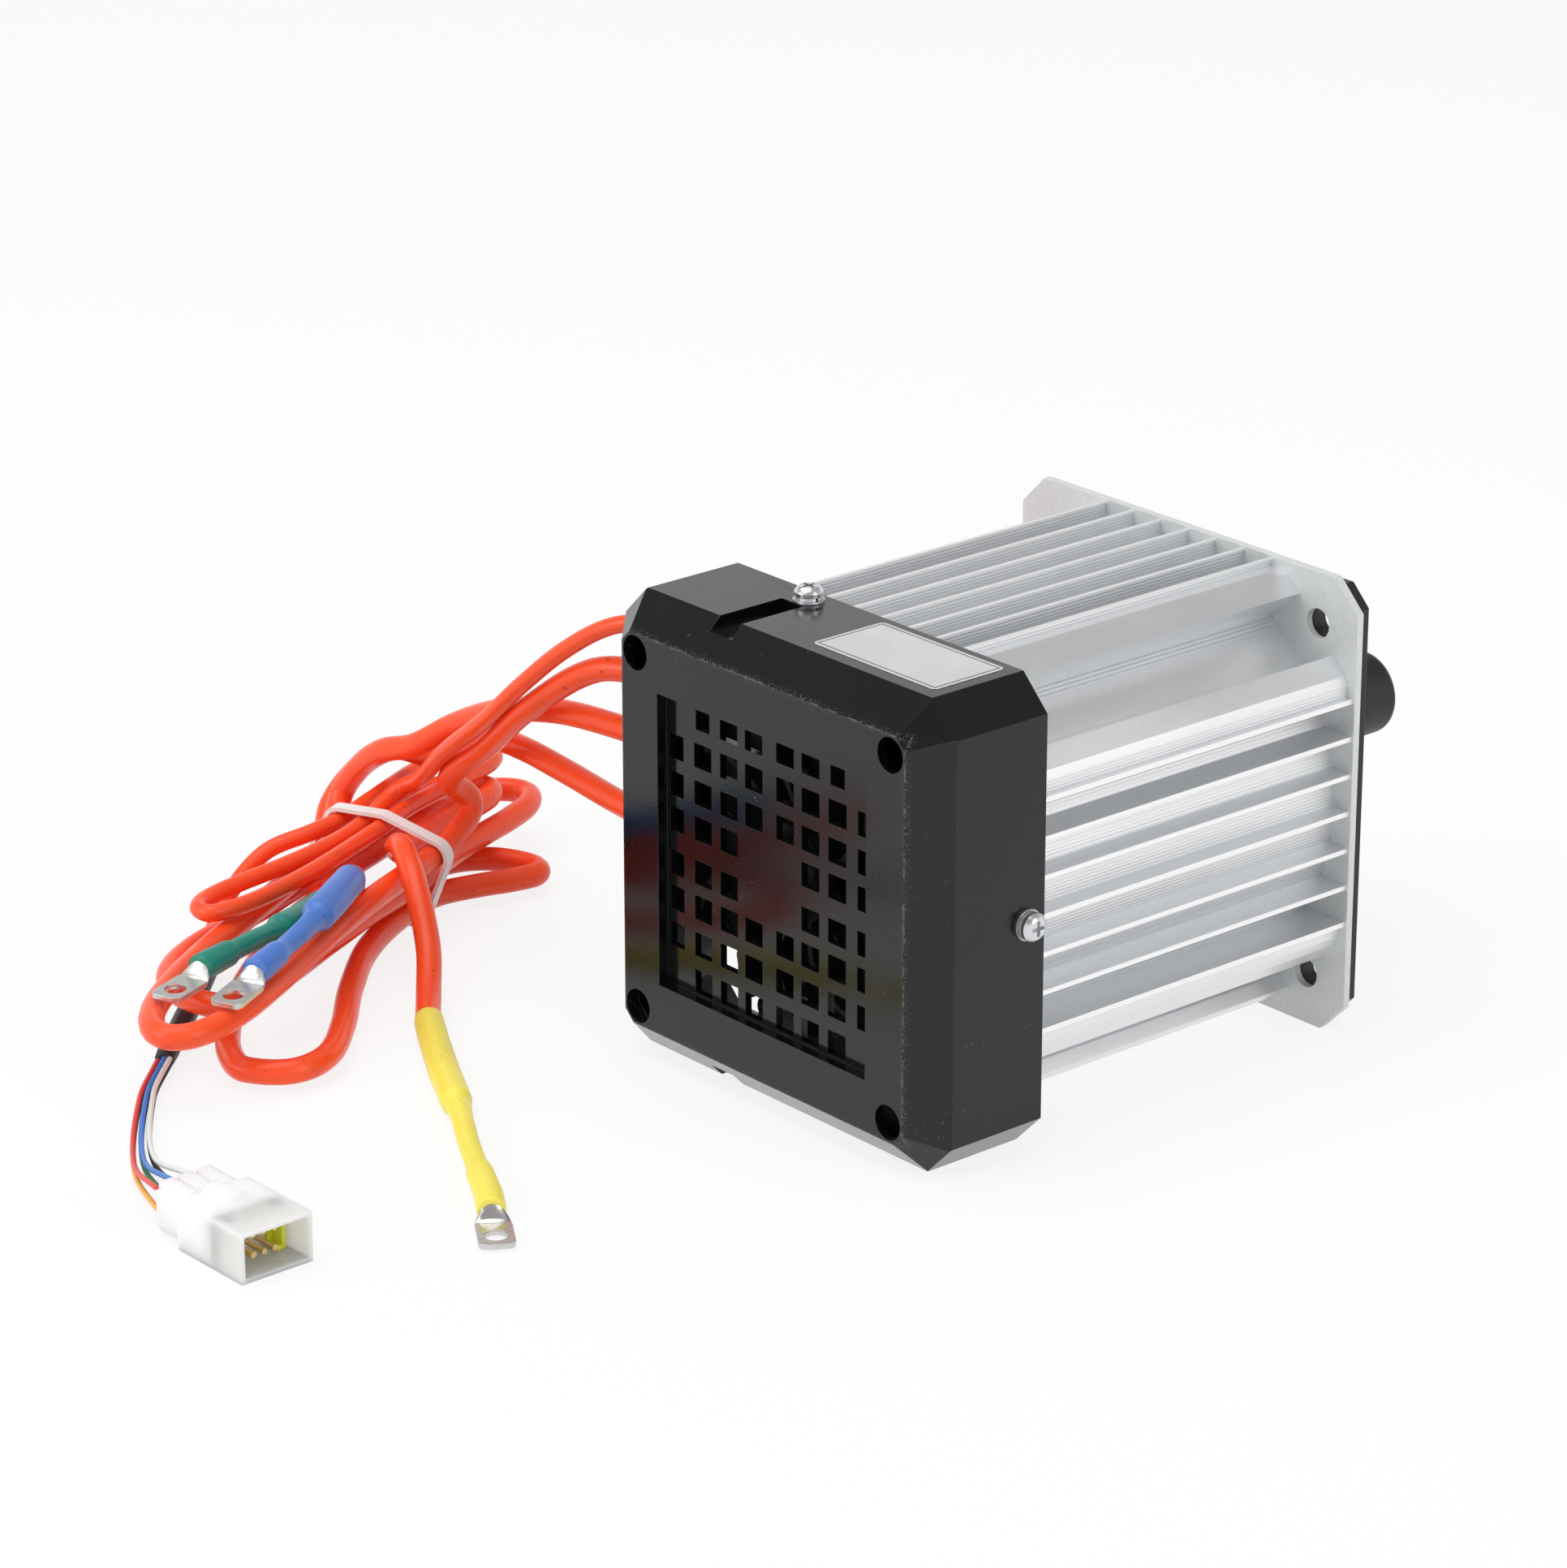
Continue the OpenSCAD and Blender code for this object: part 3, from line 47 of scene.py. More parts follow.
# Camera: the photograph's place, direction and lens
LENS, SENSOR_WIDTH = 133.63, 36
CAMERA_PLACE = (1.1644, -1.1681, 0.6165)
CAMERA_WAY = (-0.70778, 0.60932, -0.35746)
CLIP_NEAR, CLIP_FAR = 0.05, 30


def make_camera():
    data = bpy.data.cameras.new("camera")
    data.lens = LENS
    data.sensor_width = SENSOR_WIDTH
    data.clip_start, data.clip_end = CLIP_NEAR, CLIP_FAR
    cam = bpy.data.objects.new("camera", data)
    bpy.context.scene.collection.objects.link(cam)
    forward = Vector(CAMERA_WAY).normalized()
    right = forward.cross(Vector((0, 0, 1))).normalized()
    up = right.cross(forward)
    turn = Matrix((right, up, -forward)).transposed().to_4x4()
    cam.matrix_world = Matrix.Translation(CAMERA_PLACE) @ turn
    bpy.context.scene.camera = cam


make_camera()

# Materials. Noise lies mostly between 0.3 and 0.7, and WORN is the range that a wide noise is read over.
# FINE is the depth of a fine bump in metres. SOFT, GRIT and PATCHY are how rough a noise itself is.
WORN = (0.3, 0.7)
FINE = 0.0002
SOFT, GRIT, PATCHY = 0.5, 0.6, 0.7


class Look:
    """A material whose colour, roughness and bump come from procedural textures, in the object's metres."""

    def __init__(self, name, colour, roughness=0.5, metallic=0.0, **sockets):
        self.material = bpy.data.materials.new(name)
        self.material.use_nodes = True
        self.tree = self.material.node_tree
        self.shader = self.tree.nodes["Principled BSDF"]
        self.set("Base Color", (*colour, 1))
        self.set("Roughness", roughness)
        self.set("Metallic", metallic)
        for key, value in sockets.items():
            self.set(key.replace("_", " "), value)
        self.place = self.tree.nodes.new("ShaderNodeTexCoord").outputs["Object"]
        self.colour, self.height = (*colour, 1), None

    def set(self, socket, value):
        self.shader.inputs[socket].default_value = value

    def node(self, kind, inputs=(), **values):
        n = self.tree.nodes.new(kind)
        for key, value in values.items():
            setattr(n, key, value)
        for key, value in dict(inputs).items():
            if isinstance(value, bpy.types.NodeSocket):
                self.tree.links.new(value, n.inputs[key])
            else:
                n.inputs[key].default_value = value
        return n

    def scaled(self, x, y, z):
        return self.node("ShaderNodeMapping", {"Vector": self.place, "Scale": (x, y, z)}).outputs["Vector"]

    def noise(self, scale, detail=3.0, rough=0.55, vector=None, distort=0.0):
        values = {"Vector": vector or self.place, "Scale": scale, "Detail": detail, "Roughness": rough,
                  "Distortion": distort}
        return self.node("ShaderNodeTexNoise", values).outputs["Fac"]

    def step(self, value, low, high, to_low=0.0, to_high=1.0):
        """Follows value smoothly from to_low to to_high, between low and high."""
        values = {"Value": value, "From Min": low, "From Max": high, "To Min": to_low, "To Max": to_high}
        return self.node("ShaderNodeMapRange", values, interpolation_type="SMOOTHSTEP").outputs["Result"]

    def maths(self, kind, a, b=0.0):
        return self.node("ShaderNodeMath", {0: a, 1: b}, operation=kind).outputs[0]

    def parts(self):
        """The place's X, Y and Z."""
        return self.node("ShaderNodeSeparateXYZ", {"Vector": self.place}).outputs

    def tint(self, amount, colour):
        """Lays a colour over the colours so far, by an amount that is a texture."""
        n = self.node("ShaderNodeMix", {"Factor": amount}, data_type="RGBA")
        a, b = (socket for socket in n.inputs if socket.type == "RGBA")
        if isinstance(self.colour, bpy.types.NodeSocket):
            self.tree.links.new(self.colour, a)
        else:
            a.default_value = self.colour
        b.default_value = (*colour, 1)
        self.colour = next(socket for socket in n.outputs if socket.type == "RGBA")
        self.tree.links.new(self.colour, self.shader.inputs["Base Color"])

    def rough(self, value, low, high):
        """Roughness from low to high, as a wide noise goes over its range."""
        self.tree.links.new(self.step(value, *WORN, low, high), self.shader.inputs["Roughness"])

    def bump(self, height, strength, distance=FINE):
        values = {"Height": height, "Strength": strength, "Distance": distance}
        if self.height is not None:
            values["Normal"] = self.height
        self.height = self.node("ShaderNodeBump", values).outputs["Normal"]
        self.tree.links.new(self.height, self.shader.inputs["Normal"])


def shade(colour, factor, lift=0.0):
    """A lighter or darker colour of the same kind."""
    return tuple(min(1, c * factor + lift) for c in colour)


DUST, SCRATCH = (0.42, 0.42, 0.41), (0.3, 0.3, 0.3)
# EDGE_SPECK is pale dust on the rim; the rim line's colour after it is partly wear and partly a painted
# highlight.
EDGE_SPECK, RIM_WEAR_AND_HIGHLIGHT = (0.36, 0.36, 0.35), (0.2, 0.2, 0.2)


def black_plastic(name, colour, low, high, dust, edge=None):
    """Moulded black plastic with dust, scratches and, at edge metres from the axis, a paler rim line that is
    partly wear and partly a painted highlight.
    """
    look = Look(name, colour, 0.35, Specular_IOR_Level=0.42)
    wide = look.noise(22, 4)
    look.rough(wide, low, high)
    look.tint(look.step(wide, 0.35, 0.8, 0, 0.5), shade(colour, 1.7))
    grains = look.step(look.noise(1500, 2, GRIT), 0.68, 0.76)
    patches = look.step(look.noise(38, 5, PATCHY), 0.5, 0.72)
    look.tint(look.maths("MULTIPLY", look.maths("MULTIPLY", grains, patches), dust), DUST)
    if edge:
        part = look.parts()
        out = look.maths("MAXIMUM", look.maths("ABSOLUTE", part["X"]), look.maths("ABSOLUTE", part["Z"]))
        off = look.maths("ABSOLUTE", look.maths("SUBTRACT", out, edge))
        specks = look.step(look.noise(2600, 2, GRIT), 0.6, 0.68)
        look.tint(look.maths("MULTIPLY", specks, look.step(off, 0.0001, 0.0016, 0.7, 0)), EDGE_SPECK)
        # A paler line along the rim, broken up by noise: partly edge wear, partly a painted highlight
        # standing in for the light on the bevelled edges.
        look.tint(look.maths("MULTIPLY", look.step(look.noise(260, 4, PATCHY), 0.42, 0.62),
                             look.step(off, 0.0, 0.0004, 0.5, 0)), RIM_WEAR_AND_HIGHLIGHT)
    scratch = look.noise(700, 2, SOFT, look.scaled(1, 0.06, 0.5), 0.4)
    look.tint(look.step(scratch, 0.735, 0.78, 0, 0.22 * dust), SCRATCH)
    look.bump(look.noise(1800, 2), 0.12)
    look.bump(look.noise(14, 2), 0.25, 0.0008)
    return look.material


HOUSING_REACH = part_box("housing")[1].z
GROOVE_PITCH, GROOVE_DEPTH = 0.001, 0.00008
BLOCKS_FROM = 0.040
# How far inside the housing's reach the fin tip faces start and finish being painted paler as a highlight.
TIP_FROM, TIP_FULL = 0.0005, 0.0002
HOUSING_TONES = {
    "base": (0.80, 0.81, 0.822), "lines": (0.735, 0.747, 0.76), "pale": (0.87, 0.877, 0.885),
    "dull": (0.6, 0.605, 0.61), "flecks": (0.2, 0.2, 0.2), "tips": (0.94, 0.945, 0.95),
}


def extruded_aluminium():
    """The housing's metal: drawn lines, a few dark flecks, grooves on the fins, and the fin tip faces
    painted paler as a highlight.
    """
    tone = HOUSING_TONES
    look = Look("housing_aluminium", tone["base"], 0.4, 0.84)
    lines = look.noise(1, 3, GRIT, look.scaled(1400, 4, 1400))
    wide = look.noise(26, 4, GRIT, look.scaled(1, 0.25, 1))
    look.tint(look.step(lines, 0.4, 0.7, 0, 0.3), tone["lines"])
    look.tint(look.step(wide, 0.45, 0.75, 0, 0.35), tone["pale"])
    look.tint(look.step(look.noise(75, 5, PATCHY), 0.64, 0.74, 0, 0.22), tone["dull"])
    look.tint(look.step(look.noise(420, 3, GRIT), 0.76, 0.775, 0, 0.7), tone["flecks"])
    look.rough(wide, 0.34, 0.46)
    part = look.parts()
    turns = 2 * math.pi / GROOVE_PITCH
    waves = [look.maths("SINE", look.maths("MULTIPLY", part[axis], turns)) for axis in "XZ"]
    sides = [look.maths("ABSOLUTE", part[axis]) for axis in "XZ"]
    fins = look.step(look.maths("MINIMUM", *sides), BLOCKS_FROM, BLOCKS_FROM + 2 * MM, 1, 0)
    look.bump(look.maths("MULTIPLY", look.maths("ADD", *waves), fins), 0.35, GROOVE_DEPTH)
    # Painted highlight: the outermost fin tip faces are tinted paler, standing in for the light they catch
    # at a grazing angle.
    tips = look.step(look.maths("MAXIMUM", *sides), HOUSING_REACH - TIP_FROM, HOUSING_REACH - TIP_FULL,
                     0, 0.85)
    look.tint(tips, tone["tips"])
    look.bump(lines, 0.1)
    look.bump(look.noise(420, 3), 0.08)
    return look.material


def machined(name, colour, low, high, stretch, metallic=0.9):
    """Turned or plated metal, with lines as fine as stretch along each axis."""
    look = Look(name, colour, (low + high) / 2, metallic)
    lines = look.noise(1, 3, GRIT, look.scaled(*stretch))
    wide = look.noise(40, 4)
    look.tint(look.step(lines, 0.35, 0.7, 0, 0.5), shade(colour, 0.82))
    look.tint(look.step(wide, 0.5, 0.75, 0, 0.4), shade(colour, 1.12))
    look.rough(wide, low, high)
    look.bump(lines, 0.14)
    return look.material


def rubber(name, colour, low, high, tone=0.86, grain=500, bump=0.1, grime=0.0, **sockets):
    """Rubber, silicone or soft plastic: patches of another tone, grime, pale dust and a fine grain."""
    look = Look(name, colour, (low + high) / 2, **sockets)
    wide = look.noise(30, 4, GRIT)
    look.tint(look.step(wide, 0.4, 0.75, 0, 0.55), shade(colour, tone))
    if grime:
        look.tint(look.step(look.noise(45, 5, PATCHY), 0.6, 0.75, 0, grime), shade(colour, 0.45))
        look.tint(look.step(look.noise(520, 2, SOFT), 0.72, 0.735, 0, grime * 2), shade(colour, 0.12))
    look.tint(look.step(look.noise(900, 2), 0.66, 0.76, 0, 0.12), shade(colour, 1.2, 0.12))
    look.rough(wide, low, high)
    look.bump(look.noise(grain, 3), bump)
    return look.material


NECK_END, NECK_FADE = -0.046, -0.031
NYLON, NYLON_PATCH, NYLON_NECK = (0.97, 0.965, 0.945), (0.94, 0.93, 0.89), (0.95, 0.84, 0.85)


def milky_nylon():
    """The plug's pale, translucent nylon, slightly pink at its neck."""
    look = Look("plug_nylon", NYLON, 0.28, Subsurface_Weight=1.0, Subsurface_Scale=0.012,
                Subsurface_Radius=(1, 0.95, 0.9), Specular_IOR_Level=0.35)
    wide = look.noise(30, 4, GRIT)
    look.tint(look.step(wide, 0.4, 0.75, 0, 0.5), NYLON_PATCH)
    look.tint(look.step(look.parts()["X"], NECK_END, NECK_FADE, 0.55, 0), NYLON_NECK)
    look.rough(wide, 0.22, 0.36)
    look.bump(look.noise(300, 3), 0.05)
    return look.material


COVER_RIM = 0.061

MATERIALS = {
    "cover": black_plastic("cover_black", (0.0036, 0.004, 0.0044), 0.07, 0.17, 0.9, COVER_RIM),
    "end_cover": black_plastic("end_cover_black", (0.009, 0.0095, 0.010), 0.34, 0.5, 0.6),
    "cap": rubber("cap_black", (0.011, 0.011, 0.012), 0.42, 0.55, 1.6, 700, 0.2, Specular_IOR_Level=0.4),
    "grommet": rubber("grommet_black", (0.014, 0.014, 0.015), 0.45, 0.6, 1.5, 600, 0.2),
    "housing": extruded_aluminium(),
    "flange": machined("flange_aluminium", (0.70, 0.715, 0.722), 0.4, 0.52, (1500, 1500, 300), 0.3),
    "bracket": machined("bracket_aluminium", (0.60, 0.61, 0.62), 0.4, 0.55, (200, 200, 200)),
    "steel": machined("shaft_steel", (0.55, 0.56, 0.58), 0.25, 0.36, (300, 900, 300)),
    "zinc": machined("zinc", (0.70, 0.71, 0.73), 0.2, 0.32, (900, 900, 900)),
    "washer": machined("washer_zinc", (0.58, 0.59, 0.61), 0.28, 0.4, (700, 700, 700)),
    "tin": machined("tinned_copper", (0.66, 0.65, 0.63), 0.2, 0.36, (500, 500, 500)),
    "brass": machined("pin_brass", (0.75, 0.55, 0.25), 0.25, 0.35, (500, 500, 500)),
    "lamination": machined("lamination_steel", (0.28, 0.29, 0.31), 0.45, 0.6, (40, 2600, 40), 0.8),
    "magnet": machined("magnet_nickel", (0.42, 0.43, 0.45), 0.3, 0.42, (300, 300, 300)),
    "copper": machined("winding_copper", (0.55, 0.22, 0.08), 0.35, 0.5, (900, 60, 900), 0.7),
    "board": rubber("board_green", (0.02, 0.16, 0.05), 0.35, 0.5, 0.7),
    "chip": rubber("chip_black", (0.015, 0.015, 0.015), 0.5, 0.6, 1.4),
    "sleeving": rubber("sleeving_black", (0.012, 0.012, 0.013), 0.45, 0.6, 1.5, 900, 0.2),
    "fan": rubber("fan_black", (0.012, 0.013, 0.014), 0.4, 0.55, 1.5, 800, 0.15),
    "silicone": rubber("silicone_orange", (1.0, 0.088, 0.02), 0.24, 0.36, 0.96, 420, 0.06, 0.3,
                       Specular_IOR_Level=0.38),
    "blue": rubber("shrink_blue", (0.075, 0.20, 0.62), 0.34, 0.48, 0.8, 500, 0.14, 0.25),
    "green": rubber("shrink_green", (0.006, 0.235, 0.17), 0.32, 0.46, 0.8, 500, 0.14, 0.3),
    "yellow": rubber("shrink_yellow", (0.93, 0.80, 0.10), 0.34, 0.48, 0.9, 500, 0.14, 0.15),
    "boot": rubber("boot_black", (0.012, 0.012, 0.013), 0.42, 0.55, 1.5, 500, 0.14),
    "tie": rubber("tie_white", (0.87, 0.87, 0.86), 0.3, 0.42, 0.95, 400, 0.05),
    "nylon": milky_nylon(),
    "lock": rubber("lock_yellow", (0.93, 0.90, 0.07), 0.3, 0.42, 0.95, 400, 0.05, Subsurface_Weight=0.5,
                   Subsurface_Scale=0.004),
    "wire_white": rubber("wire_white", (0.80, 0.80, 0.78), 0.35, 0.45),
    "wire_black": rubber("wire_black", (0.013, 0.013, 0.014), 0.35, 0.45, 1.4),
    "wire_green": rubber("wire_green", (0.02, 0.30, 0.10), 0.35, 0.45),
    "wire_blue": rubber("wire_blue", (0.04, 0.20, 0.65), 0.35, 0.45),
    "wire_red": rubber("wire_red", (0.72, 0.04, 0.03), 0.35, 0.45),
    "wire_yellow": rubber("wire_yellow", (0.90, 0.42, 0.05), 0.35, 0.45),
}

NODE_LOOKS = {
    "cover": ["fan_cover"],
    "end_cover": ["front_end_cover"],
    "cap": ["shaft_cap", "shaft_seal"],
    "grommet": ["cable_grommet"],
    "housing": ["housing"],
    "flange": ["mounting_flange"],
    "bracket": ["rear_bracket"],
    "steel": ["shaft", "front_bearing_outer_ring", "front_bearing_inner_ring", "rear_bearing_outer_ring",
              "rear_bearing_inner_ring", "front_bearing_balls", "rear_bearing_balls", "wave_washer",
              "fan_circlip"],
    "zinc": ["cover_screws", "end_cover_screws", "rear_bracket_screws"],
    "washer": ["cover_washers"],
    "lamination": ["stator_core", "rotor_core"],
    "magnet": ["rotor_magnets"],
    "copper": ["stator_windings"],
    "board": ["sensor_board"],
    "chip": ["hall_sensors"],
    "fan": ["cooling_fan"],
    "sleeving": ["inner_leads"],
    "tin": ["blue_ring_lug", "green_ring_lug", "yellow_ring_lug"],
    "tie": ["cable_tie"],
    "nylon": ["sensor_connector"],
    "lock": ["connector_lock"],
    "brass": ["connector_pins"],
}
for look, names in NODE_LOOKS.items():
    for name in names:
        slots = NODES[name].data.materials
        if not slots:
            slots.append(MATERIALS[look])
        for i in range(len(slots)):
            slots[i] = MATERIALS[look]

# Rounded edges that catch the light, in millimetres
EDGES = {
    "fan_cover": 0.45, "mounting_flange": 0.2, "front_end_cover": 0.3, "housing": 0.16, "cable_grommet": 0.4,
    "sensor_connector": 0.35, "connector_lock": 0.15, "cable_tie": 0.25, "cover_screws": 0.12,
    "cover_washers": 0.1,
}
WELD_DISTANCE = 2e-6


def soften(obj, width, weld=True, angle=28):
    """Rounds the edges sharper than an angle, in degrees."""
    if weld:
        m = obj.modifiers.new("weld", "WELD")
        m.merge_threshold = WELD_DISTANCE
    m = obj.modifiers.new("edges", "BEVEL")
    m.width = width * MM
    m.segments = 2
    m.limit_method = "ANGLE"
    m.angle_limit = math.radians(angle)
    m.use_clamp_overlap = True
    m = obj.modifiers.new("normals", "WEIGHTED_NORMAL")
    m.keep_sharp = True
    m.weight = 80


for name, width in EDGES.items():
    soften(NODES[name], width)


# Cords, with the same points as the solids', in millimetres: route in the object's own axes, the rest along
# and across the tied bundle and up from the floor. A loop's numbers are its reach and shift to the left and
# right, its four bulges, and its place across the waist at its start, middle and end.
FLOOR = -0.071
LOOP_X, LOOP_Y, LOOP_TURN = -0.190, -0.168, math.radians(-64)
LOOP_POINTS, BULGE_SCALE = 24, 2.5
PHASE_D, SENSOR_D = 0.0077, 0.0054
TINY = 1e-9
COLLAR_X, OUTLET_Y = -0.0752, -0.143
LEVELS = [0.00615, 0.01505, 0.02395, 0.0311]
# The most that a curve's handle is stretched where its points lie close together
LONGEST_HANDLE = 1.7

CORDS = {
    "blue": {
        "exit_z": -0.013, "d": PHASE_D, "level": LEVELS[0],
        "route": [(-98, -143, -13), (-130, -140, -12), (-152, -139, -11), (-170, -137, -13),
                  (-187, -135, -20)],
        "into": [(-34, 3, 43), (-37, -13, 42), (-38, -27, 32), (-32, -34, 19), (-15, -25, 8)],
        "loop": (132, 46, 24, 22, 8, 24, 10, 18, -20, 12, -1),
        "out": [(9, -1, 8), (20, 1.5, 14.5), (31, 7, 23), (42, 13, 31), (53, 18, 35.5)],
        "sleeve": [(74, 22, 36.5), (98, 24, 35.5), (120, 23, 33.5)],
    },
    "green": {
        "exit_z": 0.012, "d": PHASE_D, "level": LEVELS[1],
        "route": [(-98, -143.5, 12), (-122.5, -145, 10.5), (-141.5, -145, 6.5), (-162, -144.5, -0.5),
                  (-180, -145.5, -9.5)],
        "into": [(-18, 4, 52), (-22, -9, 47), (-27, -20, 38), (-27, -27, 27), (-15, -23, 18)],
        "loop": (112, 82, 3, 8, 22, 8, 12, 10, -20, 14, -11),
        "out": [(14, -9.5, 16), (28, -6, 18.5), (42, 1, 22.5), (54, 8, 26)],
        "sleeve": [(78, 11.5, 29.5), (102, 10, 32.5), (123, 7, 33)],
    },
    "yellow": {
        "exit_z": 0.033, "d": PHASE_D, "level": LEVELS[2],
        "route": [(-105, -149, 30), (-131, -154, 12), (-154, -152, -7), (-178, -149, -26)],
        "into": [(-22, 21.5, 34), (-11, 20.5, 26.4)],
        "loop": (156, 60, 12, 6, 12, 12, 10, 8, 19, -14, 9),
        "out": [(6, 9.5, 27), (13, 14, 31.5), (21, 20, 33), (32, 29, 28), (46, 40, 15), (62, 48, 7),
                (76, 55, 5)],
        "sleeve": [(105, 74, 4.7), (129, 91, 4.7), (152, 106, 4.6), (176, 123, 4.4), (184, 128, 4.1)],
    },
    "sensor": {
        "exit_z": 0.050, "d": SENSOR_D, "level": LEVELS[3],
        "route": [(-97, -149, 46), (-113, -154, 35.5), (-129, -158, 21), (-146.5, -158.5, 5.2),
                  (-170, -156.5, -12.5)],
        "into": [(-15, 7, 42), (-18, -1, 37), (-9, -4.5, 32.8)],
        "loop": (84, 72, -14, 2, 9, 4, 8, 8, -5, 1.5, -13),
        "out": [(12, -17, 30.5), (24, -27, 26.5), (36, -34, 15), (48, -33, 7), (58, -28, 4.2)],
        "sleeve": [(84, -19, 3.6), (110, -11, 3.6), (131, -4, 3.6)],
    },
}


def bundle(a, p, h):
    """A point of the tied bundle: along it, across it and up from the floor, in metres."""
    c, s = math.cos(LOOP_TURN), math.sin(LOOP_TURN)
    return Vector((LOOP_X + a * c - p * s, LOOP_Y + a * s + p * c, FLOOR + h))


def loop_points(loop, level):
    """One turn of the bundle: a figure through the waist with a bulged loop on its left and right."""
    left, right, shift_left, shift_right, *bulges, start, middle, end = (v * MM for v in loop)
    out = []
    for i in range(LOOP_POINTS + 1):
        t = 2 * math.pi * i / LOOP_POINTS
        s, c = math.sin(t), math.cos(t)
        if abs(s) < TINY:
            s = 0.0
        half = i * 2 / LOOP_POINTS
        waist = start + (middle - start) * half if half < 1 else middle + (end - middle) * (half - 1)
        side = math.copysign(1, start) * c
        reach, shift, bulge = (left, shift_left, bulges[:2]) if s >= 0 else (right, shift_right, bulges[2:])
        across = waist * c * c + shift * s * s + BULGE_SCALE * bulge[side > 0] * s * s * side
        out.append(bundle(s * reach, across, level))
    return out


def cord_points(c):
    """All points of a cord, and the place in them where its sleeve starts."""
    first = Vector((COLLAR_X, OUTLET_Y, c["exit_z"]))
    points = [first, first - Vector((c["d"], 0, 0))] + [Vector(p) * MM for p in c["route"]]
    points += [bundle(*(v * MM for v in p)) for p in c["into"]]
    points += loop_points(c["loop"], c["level"])
    points += [bundle(*(v * MM for v in p)) for p in c["out"]]
    start = len(points) - 1
    points += [bundle(*(v * MM for v in p)) for p in c["sleeve"]]
    return points, start


def neighbours(points, i):
    """The points before and after one, mirrored at the ends."""
    before = points[i - 1] if i else 2 * points[0] - points[1]
    after = points[i + 1] if i + 1 < len(points) else 2 * points[-1] - points[-2]
    return before, after


def curve_piece(name, points, d, material, radii=None, steps=10, sides=6):
    """A round cord as one smooth open spline through its points."""
    data = bpy.data.curves.new(name, "CURVE")
    data.dimensions = "3D"
    data.resolution_u = steps
    data.bevel_depth = d / 2
    data.bevel_resolution = sides
    data.use_fill_caps = True
    spline = data.splines.new("BEZIER")
    spline.bezier_points.add(len(points) - 1)
    for i, (knot, p) in enumerate(zip(spline.bezier_points, points)):
        before, after = neighbours(points, i)
        knot.handle_left_type = knot.handle_right_type = "FREE"
        knot.co = p
        way = (after - before) / 6
        knot.handle_left = p - way * min(LONGEST_HANDLE, (p - before).length / way.length / 3)
        knot.handle_right = p + way * min(LONGEST_HANDLE, (after - p).length / way.length / 3)
        knot.radius = radii[i] if radii else 1
    data.materials.append(material)
    obj = bpy.data.objects.new(name, data)
    bpy.context.scene.collection.objects.link(obj)
    return obj


def smooth_path(points, first, last, step):
    """The curve's points from one knot to another, about a step apart."""
    out = []
    for i in range(first, last):
        b, c = points[i], points[i + 1]
        a, d = neighbours(points, i)[0], neighbours(points, i + 1)[1]
        n = max(2, round((c - b).length / step))
        for j in range(n):
            t = j / n
            out.append((2 * b + (c - a) * t + (2 * a - 5 * b + 4 * c - d) * t * t
                        + (3 * b - a - 3 * c + d) * t ** 3) / 2)
    return out + [points[last].copy()]


def line_length(path):
    return sum((b - a).length for a, b in zip(path, path[1:]))


def new_mesh(name, bm, material, smooth=True):
    data = bpy.data.meshes.new(name)
    bmesh.ops.recalc_face_normals(bm, faces=bm.faces)
    bm.to_mesh(data)
    bm.free()
    if smooth:
        for f in data.polygons:
            f.use_smooth = True
    data.materials.append(material)
    obj = bpy.data.objects.new(name, data)
    bpy.context.scene.collection.objects.link(obj)
    return obj


def band(bm, a, b):
    """A closed strip of faces from one ring of vertices to another."""
    for k in range(len(a)):
        m = (k + 1) % len(a)
        bm.faces.new((a[k], a[m], b[m], b[k]))


def eased(table, x):
    """A value that goes smoothly from one row of a table of (x, value) to the next."""
    for (x0, y0), (x1, y1) in zip(table, table[1:]):
        if x <= x1:
            t = max(0.0, min(1.0, (x - x0) / (x1 - x0)))
            return y0 + (y1 - y0) * t * t * (3 - 2 * t)
    return table[-1][1]


def tube_piece(name, path, radius, material, sides=28, hole=0.0):
    """A tube along a path. radius(share, angle) gives its wall, and hole the inner rim at both ends."""
    bm = bmesh.new()
    angles = [k * 2 * math.pi / sides for k in range(sides)]
    rings, lengths = [], [0.0]
    for a, b in zip(path, path[1:]):
        lengths.append(lengths[-1] + (b - a).length)
    side = None
    for i, p in enumerate(path):
        along = (path[min(i + 1, len(path) - 1)] - path[max(i - 1, 0)]).normalized()
        if side is None:
            side = along.cross(Vector((0, 0, 1))).normalized()
        else:
            side = (side - along * side.dot(along)).normalized()
        up = side.cross(along)
        share = lengths[i] / lengths[-1]
        rings.append([bm.verts.new(p + radius(share, a) * (math.cos(a) * side + math.sin(a) * up))
                      for a in angles])
    for a, b in zip(rings, rings[1:]):
        band(bm, a, b)
    for ring, p in ((rings[0], path[0]), (rings[-1], path[-1])):
        if hole:
            inner = [bm.verts.new(p + (v.co - p).normalized() * hole) for v in ring]
            band(bm, ring, inner)
            bm.faces.new(inner)
        else:
            bm.faces.new(ring)
    return new_mesh(name, bm, material)


# A profile's rows are the share of its length and the wall's radius as a share of the cord's
BOOT = [(0, 1.18), (0.02, 1.23), (0.9, 1.2), (0.98, 1.1), (1, 0.98)]


def sleeve_walls(fat):
    """A shrunk sleeve's profile: full over the cord, drawn in over the strands, flared over the barrel."""
    return [(0, fat - 0.1), (0.012, fat - 0.05), (0.3, fat), (0.445, fat), (0.475, 0.93), (0.56, 0.82),
            (0.77, 0.80), (0.82, 1.03), (0.95, 1.09), (0.985, 1.09), (1, 1.03)]


# Where a shrunk sleeve has drawn in and folds, and how high its folds and waves stand
DRAWN = [(0.42, 0), (0.49, 1), (0.78, 1), (0.86, 0.3), (1, 0.1)]
FOLD_HEIGHT, WAVE_HEIGHT = 0.022, 0.02


